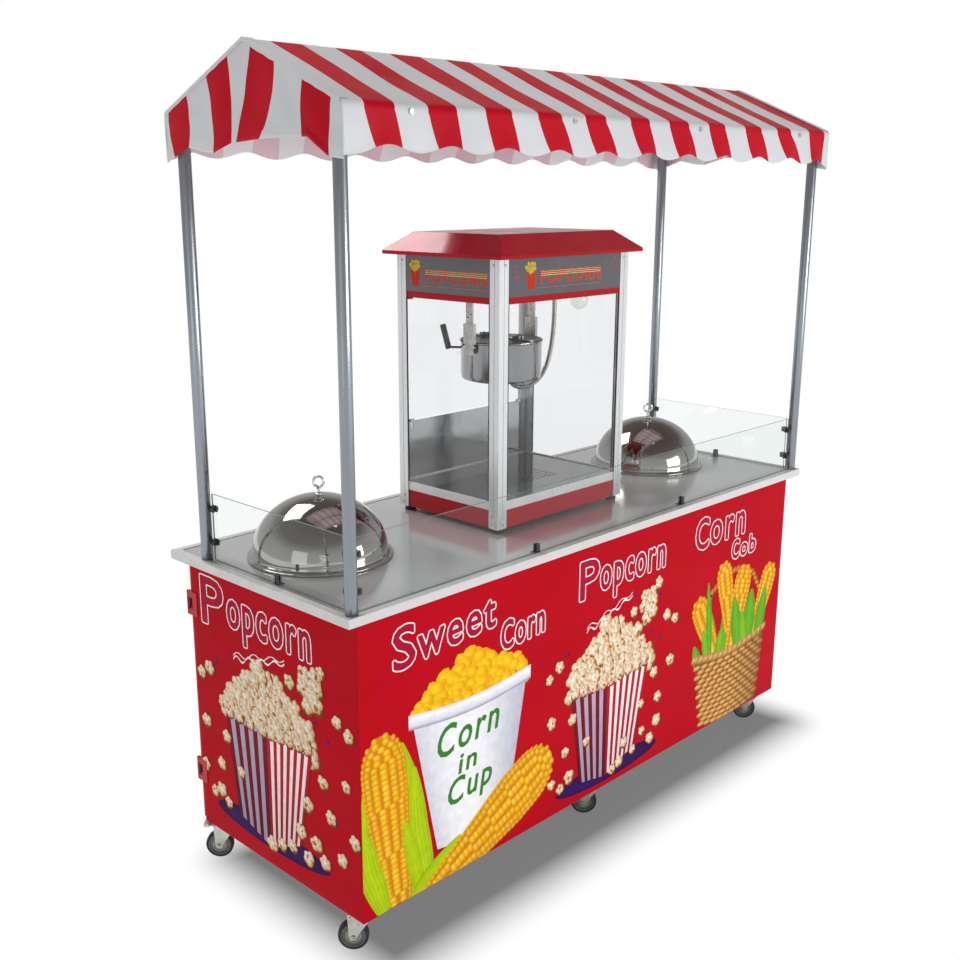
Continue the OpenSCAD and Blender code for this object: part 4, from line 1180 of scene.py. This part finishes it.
def dome(side):
    """Spun steel lid with a stepped flange, a rolled edge and a ring on top."""
    lo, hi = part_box(f"dome_{side}")
    at = ((lo.x + hi.x) / 2, (lo.y + hi.y) / 2, lo.z)
    body = f"lid_dome_{side}"
    outer = [(0.0, DOME_H)] + [(DOME_R * math.sin(a), 0.009 + (DOME_H - 0.009) * math.cos(a))
                               for a in [math.radians(3 + 87 * i / 40) for i in range(41)]]
    outer += [(DOME_R + 0.001, 0.0072), (DOME_R + 0.004, 0.0060), (DOME_R + 0.0065, 0.0058),
              (DOME_R + 0.0075, 0.0040)]
    outer += arc(DOME_RIM_R - 0.0021, 0.0021, 0.0021, 100, -90, 9)
    inner = [(DOME_R + 0.003, 0.0004), (DOME_R - 0.001, 0.0030)]
    inner += [((DOME_R - SHEET) * math.sin(a), 0.008 + (DOME_H - 0.009 - SHEET) * math.cos(a))
              for a in [math.radians(89 - 86 * i / 30) for i in range(31)]]
    inner.append((0.0, DOME_H - SHEET))
    shell = turned(f"dome_shell_{side}", outer + inner, [M["dome"]], at, sides=120, body=body)
    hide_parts(f"dome_{side}")
    top = (at[0], at[1], at[2] + DOME_H)
    stem = [(0.0, 0.0), (0.0095, -0.0006), (0.0092, 0.0028), (0.0062, 0.0042), (0.0034, 0.0048),
            (0.0030, 0.0125), (0.0052, 0.0130), (0.0056, 0.0150), (0.0042, 0.0168), (0.0, 0.0172)]
    stud = turned(f"dome_stud_{side}", stem, [M["polished"]], top, sides=36, body=body)
    facing = (math.cos(RING_TURN), math.sin(RING_TURN), 0)
    ring = ring_mesh(f"dome_ring_{side}", (top[0], top[1], hi.z - RING_DROP), facing, RING_R, RING_WIRE,
                     M["polished"], body)


# ---------------------------------------------------------------- casters

TRAIL = math.radians(134)
AXLE = (-math.sin(TRAIL), math.cos(TRAIL), 0)
TYRE_FROM_R, NUT_OUT = 0.0291, 0.0156
NUT = [(0.0, 0.0046), (0.0022, 0.0046), (0.0026, 0.0032), (0.0056, 0.0030), (0.0062, 0.0004),
       (0.0, 0.0002)]


def wheel(i):
    """Grey pressed disc with a raised ring, a hub cap and a rounded black tyre."""
    lo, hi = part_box(f"wheel_{i}")
    at = (lo + hi) / 2
    half = [(0.0, 0.0118), (0.0042, 0.0118), (0.0050, 0.0108), (0.0088, 0.0106), (0.0092, 0.0070),
            (0.0140, 0.0064), (0.0152, 0.0080), (0.0172, 0.0082), (0.0184, 0.0066), (0.0246, 0.0068),
            (0.0256, 0.0090), (0.0284, 0.0094), (0.0290, 0.0088), (0.0292, 0.0100)]
    half += arc(0.0312, 0.0070, 0.0036, 118, 12, 7) + [(0.0350, 0.0040)]
    profile = half + [(r, -h) for r, h in reversed(half)]
    tone = [1 if r > TYRE_FROM_R else 0 for r, h in half]
    tone[:3] = [2] * 3
    tone[4:8] = [3] * 4
    finishes = [M["hub"], M["rubber"], M["zinc"], M["hub_light"]]
    obj = turned(f"wheel_turned_{i}", profile, finishes, at, AXLE, 72, f"wheel_{i}", tone + tone[-2::-1])
    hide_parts(f"wheel_{i}")
    for end, sign in (("a", -1), ("b", 1)):
        axis = Vector(AXLE) * sign
        piece = turned(f"axle_nut_{i}_{end}", NUT, [M["zinc"]], at + axis * NUT_OUT, axis, 6, f"fork_{i}")


# ---------------------------------------------------------------- popcorn machine details


def screw_heads(name, places, radius, material):
    """Pan heads with a round recess, joined in one piece; places are (point, direction)."""
    verts, faces = [], []
    profile = [(0.0, 0.28), (0.34, 0.30), (0.40, 0.50), (0.72, 0.44), (0.97, 0.22), (1.0, -0.1)]
    sides = 16
    for point, direction in places:
        turn = Vector((0, 0, 1)).rotation_difference(Vector(direction)).to_matrix()
        start = len(verts)
        verts.append(Vector(point) + turn @ Vector((0, 0, profile[0][1] * radius)))
        for r, h in profile[1:]:
            verts += [Vector(point) + turn @ Vector((r * radius * math.cos(TAU * i / sides),
                                                     r * radius * math.sin(TAU * i / sides), h * radius))
                      for i in range(sides)]
        for i in range(sides):
            n = (i + 1) % sides
            faces.append((start, start + 1 + i, start + 1 + n))
            for k in range(len(profile) - 2):
                a, b = start + 1 + k * sides, start + 1 + (k + 1) * sides
                faces.append((a + i, b + i, b + n, a + n))
        last = start + 1 + (len(profile) - 2) * sides
        faces.append(tuple(range(last + sides - 1, last - 1, -1)))
    mesh = mesh_of(name, verts, faces)
    smooth(mesh)
    link(name, mesh, [material])


SCREW_IN = 0.019
POST_IN, GROOVE_IN = 0.0325, 0.0165
GLASS_Z, GROOVE_Z = (0.9065, 1.3915), (0.872, 1.4985)


def corner_screws():
    """Three screws in each outer face of the machine's corner posts."""
    lo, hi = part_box("corner_posts")
    places = []
    for x, sx in ((lo.x, -1), (hi.x, 1)):
        for y, sy in ((lo.y, -1), (hi.y, 1)):
            for z in (lo.z + 0.012, lo.z + 0.030, hi.z - 0.016):
                places.append(((x - sx * SCREW_IN, y, z), (0, sy, 0)))
                places.append(((x, y - sy * SCREW_IN, z), (sx, 0, 0)))
    screw_heads("corner_post_screws", places, 0.0036, M["zinc"])


def bar(verts, faces, lo, hi):
    """Adds a box between two corners to a mesh's lists."""
    s = len(verts)
    verts += [(x, y, z) for x in (lo[0], hi[0]) for y in (lo[1], hi[1]) for z in (lo[2], hi[2])]
    faces += [(s, s + 1, s + 3, s + 2), (s + 4, s + 6, s + 7, s + 5), (s, s + 4, s + 5, s + 1),
              (s + 2, s + 3, s + 7, s + 6), (s, s + 2, s + 6, s + 4), (s + 1, s + 5, s + 7, s + 3)]


def bars(name, boxes, material, round_by):
    """Slim bars with eased edges, joined in one piece."""
    verts, faces = [], []
    for lo, hi in boxes:
        bar(verts, faces, lo, hi)
    obj = link(name, mesh_of(name, verts, faces), [material])
    bevel = obj.modifiers.new("edges", "BEVEL")
    bevel.width = round_by
    bevel.segments = 2
    return obj


def gaskets():
    """Black rubber strips between each post and its pane, and a dark strip of painted groove shade down each
    post.
    """
    lo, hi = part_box("corner_posts")
    z0, z1 = GLASS_Z
    g0, g1 = GROOVE_Z
    strips, grooves = [], []
    for x, sx in ((lo.x, 1), (hi.x, -1)):
        inner = x + sx * POST_IN
        strips.append(((min(inner, inner + sx * 0.003), lo.y + 0.0005, z0),
                       (max(inner, inner + sx * 0.003), lo.y + 0.0030, z1)))
        # dark strip on the post face: painted shade of the groove
        groove = x + sx * GROOVE_IN
        grooves.append(((groove - 0.0004, lo.y - 0.00025, g0), (groove + 0.0004, lo.y + 0.0002, g1)))
        edge = x + (0.0005 if sx > 0 else -0.0030)
        for y, sy in ((lo.y, 1), (hi.y, -1)):
            inner_y = y + sy * POST_IN
            strips.append(((edge, min(inner_y, inner_y + sy * 0.003), z0),
                           (edge + 0.0025, max(inner_y, inner_y + sy * 0.003), z1)))
            groove_y = y + sy * GROOVE_IN
            face = x - sx * 0.00025
            grooves.append(((min(face, x + sx * 0.0002), groove_y - 0.0004, g0),
                            (max(face, x + sx * 0.0002), groove_y + 0.0004, g1)))
    bars("glass_gaskets", strips, M["rubber"], 0.0005)
    bars("post_grooves", grooves, M["groove"], 0.0001)


ORANGE, DEEP_ORANGE = ink(214, 96, 64), ink(196, 58, 48)
PALE_GOLD, SCROLL_RED = ink(214, 196, 120), ink(190, 78, 88)
ICON_RED, ICON_RED_DARK = ink(206, 62, 40), ink(160, 34, 30)
ICON_GOLD, ICON_GOLD_DARK = ink(226, 204, 84), ink(158, 130, 40)


def sign_icon(art, u, v):
    """A small carton of popcorn."""
    rng = random.Random(3)
    art.shape([(u - 12, v - 33), (u + 12, v - 35), (u + 18, v + 6), (u - 18, v + 6)], ICON_RED)
    for k in (-10, -4, 4, 10):
        art.shape([(u + k * 0.8 - 0.9, v - 33), (u + k * 0.8 + 0.9, v - 33), (u + k * 1.25 + 1.0, v + 5),
                   (u + k * 1.25 - 1.0, v + 5)], ICON_RED_DARK)
    for i in range(18):
        a, r = i * 2.4, 4.1 * math.sqrt(i)
        at = (u + r * math.cos(a), v + 17 + r * 0.72 * math.sin(a))
        art.blob(at, 6.0, 5.2, ICON_GOLD, ICON_GOLD_DARK, rng.uniform(0, 3), 9)


def scroll(art, u, v, flip, size):
    """Curling outline ornament."""
    for k in range(3):
        line = []
        for i in range(28):
            t = i / 27
            a = t * 4.4 + k * 1.3
            r = size * (0.25 + 0.75 * (1 - t)) * (1 - 0.22 * k)
            line.append((u + flip * r * math.cos(a) * 0.6, v + r * math.sin(a)))
        art.strips([[(x, y + 1.0) for x, y in line], [(x + 0.9, y - 1.0) for x, y in line]], [SCROLL_RED] * 2)


def sign_words(art, u0, u1, v0, v1):
    """Neon-like letters under pale speed lines, with a thin rule below."""
    art.word("POPCORN", (u0, u1, v0, v1), DEEP_ORANGE, ORANGE, stroke=0.5, border=1.5)
    for k in range(3):
        y = v1 - 3 - 4.5 * k
        half = 0.6 + 0.15 * k
        art.shape([(u0, y - half), (u1, y - half), (u1, y + half), (u0, y + half)], PALE_GOLD)
    art.shape([(u0 - 14, v0 - 11), (u1 + 4, v0 - 11), (u1 + 4, v0 - 10), (u0 - 14, v0 - 10)], ORANGE)


def signs():
    """Prints on the three sign plates; the scrolls fit only on the wide front one."""
    lo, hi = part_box("sign_panels")
    front = Artwork(lambda u, v, lift: (u * MM, lo.y - lift, v * MM))
    left = Artwork(lambda u, v, lift: (lo.x - lift, -u * MM, v * MM))
    right = Artwork(lambda u, v, lift: (hi.x + lift, u * MM, v * MM))
    for name, art, words, icon in (("front", front, (-116, 118, 1436, 1467), (-152, 1458)),
                                   ("left", left, (-108, 104, 1434, 1465), (-145, 1456)),
                                   ("right", right, (-46, 170, 1434, 1464), (-79, 1456))):
        sign_words(art, *words)
        sign_icon(art, *icon)
        if name == "front":
            for u, v, flip, size in ((-206, 1462, 1, 26), (-200, 1446, -1, 18), (178, 1468, -1, 26),
                                     (172, 1452, 1, 18)):
                scroll(art, u, v, flip, size)
        art.build(f"sign_print_{name}")


CONDUIT_ROUTE = [
    (0.180, 0.062, 1.425), (0.181, 0.061, 1.390), (0.181, 0.060, 1.350), (0.179, 0.059, 1.310),
    (0.174, 0.058, 1.270), (0.165, 0.057, 1.230), (0.150, 0.056, 1.192), (0.127, 0.055, 1.163),
    (0.100, 0.055, 1.146), (0.072, 0.055, 1.138), (0.046, 0.055, 1.137), (0.024, 0.055, 1.141),
    (0.008, 0.055, 1.149), (0.000, 0.055, 1.160),
]
CONDUIT_R, RIB_DEPTH, RIBS = 0.0065, 0.0007, 82


def conduit():
    """Armoured hose: close spiral ribs along the feed to the kettle."""
    points = eased([Vector(p) for p in CONDUIT_ROUTE], 26)
    hose = tube("conduit_hose", points,
                lambda t: CONDUIT_R - RIB_DEPTH + RIB_DEPTH * math.sin(TAU * RIBS * t) ** 2, M["conduit"])
    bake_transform(hose)
    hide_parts("kettle_conduit")
    gland = [(0.0066, -0.026), (0.0105, -0.026), (0.0110, -0.014), (0.0088, -0.012), (0.0088, -0.006),
             (0.0122, -0.004), (0.0122, 0.0), (0.0, 0.0)]
    piece = turned("conduit_gland", gland, [M["polished"]], CONDUIT_ROUTE[0], sides=32)


def lamp():
    """Metal holder with cooling fins over a clear bulb."""
    lo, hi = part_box("lamp")
    x, y = (lo.x + hi.x) / 2, (lo.y + hi.y) / 2
    holder = [(0.0, 0.0), (0.0160, 0.0), (0.0160, -0.006), (0.0145, -0.0075), (0.0160, -0.009),
              (0.0160, -0.013), (0.0145, -0.0145), (0.0160, -0.016), (0.0160, -0.0255), (0.0120, -0.0262),
              (0.0, -0.0262)]
    top = turned("lamp_holder", holder, [M["polished"]], (x, y, hi.z), sides=48)
    low = lo.z - hi.z
    bulb = [(0.0118, -0.0264), (0.0120, -0.030), (0.0160, -0.036), (0.0215, -0.044)]
    bulb += arc(0.0, low + 0.024, 0.0238, 12, -88, 16) + [(0.0, low + 0.0002)]
    glass = turned("lamp_bulb", bulb, [M["bulb"]], (x, y, hi.z), sides=48)
    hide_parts("lamp")


KETTLE_X, KETTLE_Y = -0.040, 0.055
KETTLE_RIM, KETTLE_RIM_WIRE = (0.1075, 1.2725), 0.0022
HANGER_FACES = ((-0.1615, -1), (0.0835, 1))


def kettle_details():
    """Rolled rim of the kettle, and the bolts of its hangers."""
    ring = turned("kettle_rim", arc(*KETTLE_RIM, KETTLE_RIM_WIRE, -90, 250, 12), [M["dark_steel"]],
                  (KETTLE_X, KETTLE_Y, 0), sides=96, body="kettle")
    places = [((x, KETTLE_Y + dy, z), (way, 0, 0)) for x, way in HANGER_FACES
              for dy, z in ((-0.006, 1.345), (0.006, 1.338))]
    screw_heads("hanger_bolts", places, 0.0048, M["polished"])


def counter_marks():
    """Fine dark joint line along the inner edge of the counter's trim."""
    lo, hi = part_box("counter_trim")
    z0, z1, w, inset = hi.z - 0.0009, hi.z + 0.00015, 0.0007, 0.0200
    x0, x1, y0, y1 = lo.x + inset, hi.x - inset, lo.y + inset, hi.y - inset
    lines = [((x0, y - w, z0), (x1, y + w, z1)) for y in (y0, y1)]
    lines += [((x - w, y0, z0), (x + w, y1, z1)) for x in (x0, x1)]
    bars("trim_joint", lines, M["groove"], 0.0001)


for dome_side in ("left", "right"):
    dome(dome_side)
for wheel_number in CASTERS:
    wheel(wheel_number)
corner_screws()
gaskets()
signs()
conduit()
lamp()
kettle_details()
counter_marks()

# ---------------------------------------------------------------- eased edges on the CAD parts

KEEP_SHARP = {"canopy_cover", "popcorn_deck", "kettle_conduit", "machine_glass", "guard_front", "guard_ends",
              "machine_door_left", "machine_door_right", "dome_left", "dome_right", "lamp"}
EDGE = {"cabinet_frame": 0.0015, "front_panel": 0.0004, "counter_top": 0.0005, "counter_trim": 0.0006,
        "machine_roof": 0.0012, "machine_head": 0.0008, "machine_base": 0.0012, "corner_posts": 0.0006}
for node_name, node in NODES.items():
    if node_name in KEEP_SHARP or node_name.startswith("wheel_"):
        continue
    join = node.modifiers.new("join", "WELD")
    join.merge_threshold = 0.00001
    ease = node.modifiers.new("ease", "BEVEL")
    ease.width = EDGE.get(node_name, 0.0004)
    ease.segments = 2
    ease.limit_method = "ANGLE"
    ease.angle_limit = math.radians(40)
    ease.harden_normals = True

# ---------------------------------------------------------------- stage

# the painted shadow on the floor: its centre, its half size and the distance over which it fades
SHADOW_CENTRE, SHADOW_HALF, SHADOW_FADE = (0.03, -0.05, 0.0), (0.82, 0.28, 1.0), 0.17
FLOOR_HALF = 30


def floor_material():
    """Studio floor with a painted shadow by the cart: near-black colour, lit for real, fading to pure white
    away from it.
    """
    mat, nodes, links, shader = new_material("studio_floor")
    shader.inputs["Roughness"].default_value = 0.8
    shader.inputs["Specular IOR Level"].default_value = 0.1
    # near-black floor colour by the cart: a painted shadow
    tone = ramp(nodes, links, object_noise(nodes, links, 1.0), (0.10, 0.10, 0.102), (0.12, 0.12, 0.122))
    links.new(tone, shader.inputs["Base Color"])
    white = add(nodes, "ShaderNodeEmission", Strength=1.0)
    coords = nodes.new("ShaderNodeTexCoord")
    vector = coords.outputs["Object"]
    for operation, value in (("SUBTRACT", SHADOW_CENTRE), ("ABSOLUTE", None), ("SUBTRACT", SHADOW_HALF),
                             ("MAXIMUM", (0, 0, 0))):
        step = add(nodes, "ShaderNodeVectorMath", operation=operation)
        links.new(vector, step.inputs[0])
        if value:
            step.inputs[1].default_value = value
        vector = step.outputs["Vector"]
    distance = add(nodes, "ShaderNodeVectorMath", operation="LENGTH")
    links.new(vector, distance.inputs[0])
    fade = add(nodes, "ShaderNodeMapRange", interpolation_type="SMOOTHSTEP")
    fade.inputs["From Min"].default_value = -0.06
    fade.inputs["From Max"].default_value = SHADOW_FADE
    links.new(distance.outputs["Value"], fade.inputs["Value"])
    both = mix_shaders(nodes, links, fade.outputs["Result"], shader.outputs["BSDF"],
                       white.outputs["Emission"])
    links.new(both, nodes["Material Output"].inputs["Surface"])
    return mat


def make_floor():
    """A wide floor, which is not part of the cart."""
    corners = [(x * FLOOR_HALF, y * FLOOR_HALF, 0) for x, y in ((-1, -1), (1, -1), (1, 1), (-1, 1))]
    floor = bpy.data.objects.new("floor", mesh_of("floor", corners, [(0, 1, 2, 3)]))
    floor.data.materials.append(floor_material())
    bpy.context.scene.collection.objects.link(floor)


# the studio's light from straight below to straight above
SKY = ((0.0, (0.95, 0.95, 0.95)), (0.35, (0.80, 0.79, 0.78)), (0.62, (0.30, 0.27, 0.25)),
       (1.0, (0.20, 0.17, 0.15)))
SKY_STRENGTH = 0.62


def make_world():
    """White to the camera, and graded light from pale below to dim above for everything else."""
    world = bpy.data.worlds.new("studio")
    bpy.context.scene.world = world
    world.use_nodes = True
    nodes, links = world.node_tree.nodes, world.node_tree.links
    back = nodes["Background"]
    coords = nodes.new("ShaderNodeTexCoord")
    parts = nodes.new("ShaderNodeSeparateXYZ")
    links.new(coords.outputs["Generated"], parts.inputs["Vector"])
    grade = nodes.new("ShaderNodeValToRGB")
    stops = grade.color_ramp.elements
    for place, colour in SKY[1:-1]:
        stops.new(place).color = (*colour, 1)
    for stop, (place, colour) in ((stops[0], SKY[0]), (stops[-1], SKY[-1])):
        stop.position = place
        stop.color = (*colour, 1)
    links.new(parts.outputs["Z"], grade.inputs["Fac"])
    links.new(grade.outputs["Color"], back.inputs["Color"])
    back.inputs["Strength"].default_value = SKY_STRENGTH
    seen = add(nodes, "ShaderNodeBackground", Strength=1.0)
    seen.inputs["Color"].default_value = (1, 1, 1, 1)
    path = nodes.new("ShaderNodeLightPath")
    both = mix_shaders(nodes, links, path.outputs["Is Camera Ray"], back.outputs["Background"],
                       seen.outputs["Background"])
    links.new(both, nodes["World Output"].inputs["Surface"])
    bpy.context.scene.view_settings.view_transform = "Standard"
    bpy.context.scene.cycles.transparent_max_bounces = 32


def area_light(name, at, aim, size, power):
    """A rectangular lamp at a place, turned towards aim."""
    data = bpy.data.lights.new(name, "AREA")
    data.shape = "RECTANGLE"
    data.size, data.size_y = size
    data.energy = power
    lamp = bpy.data.objects.new(name, data)
    lamp.location = at
    lamp.rotation_euler = (Vector(aim) - Vector(at)).to_track_quat("-Z", "Y").to_euler()
    bpy.context.scene.collection.objects.link(lamp)


make_floor()
make_world()
area_light("key", (1.3, -4.6, 1.7), (0, -0.3, 0.9), (2.6, 1.6), 90)
area_light("fill", (-4.8, -1.2, 1.6), (0, 0, 0.9), (2.0, 2.0), 8)
area_light("back", (-0.6, 2.6, 4.3), (0.1, -0.3, 0.6), (2.2, 1.6), 125)
area_light("top", (0.3, -0.3, 4.6), (0, 0, 0.8), (2.2, 1.4), 16)
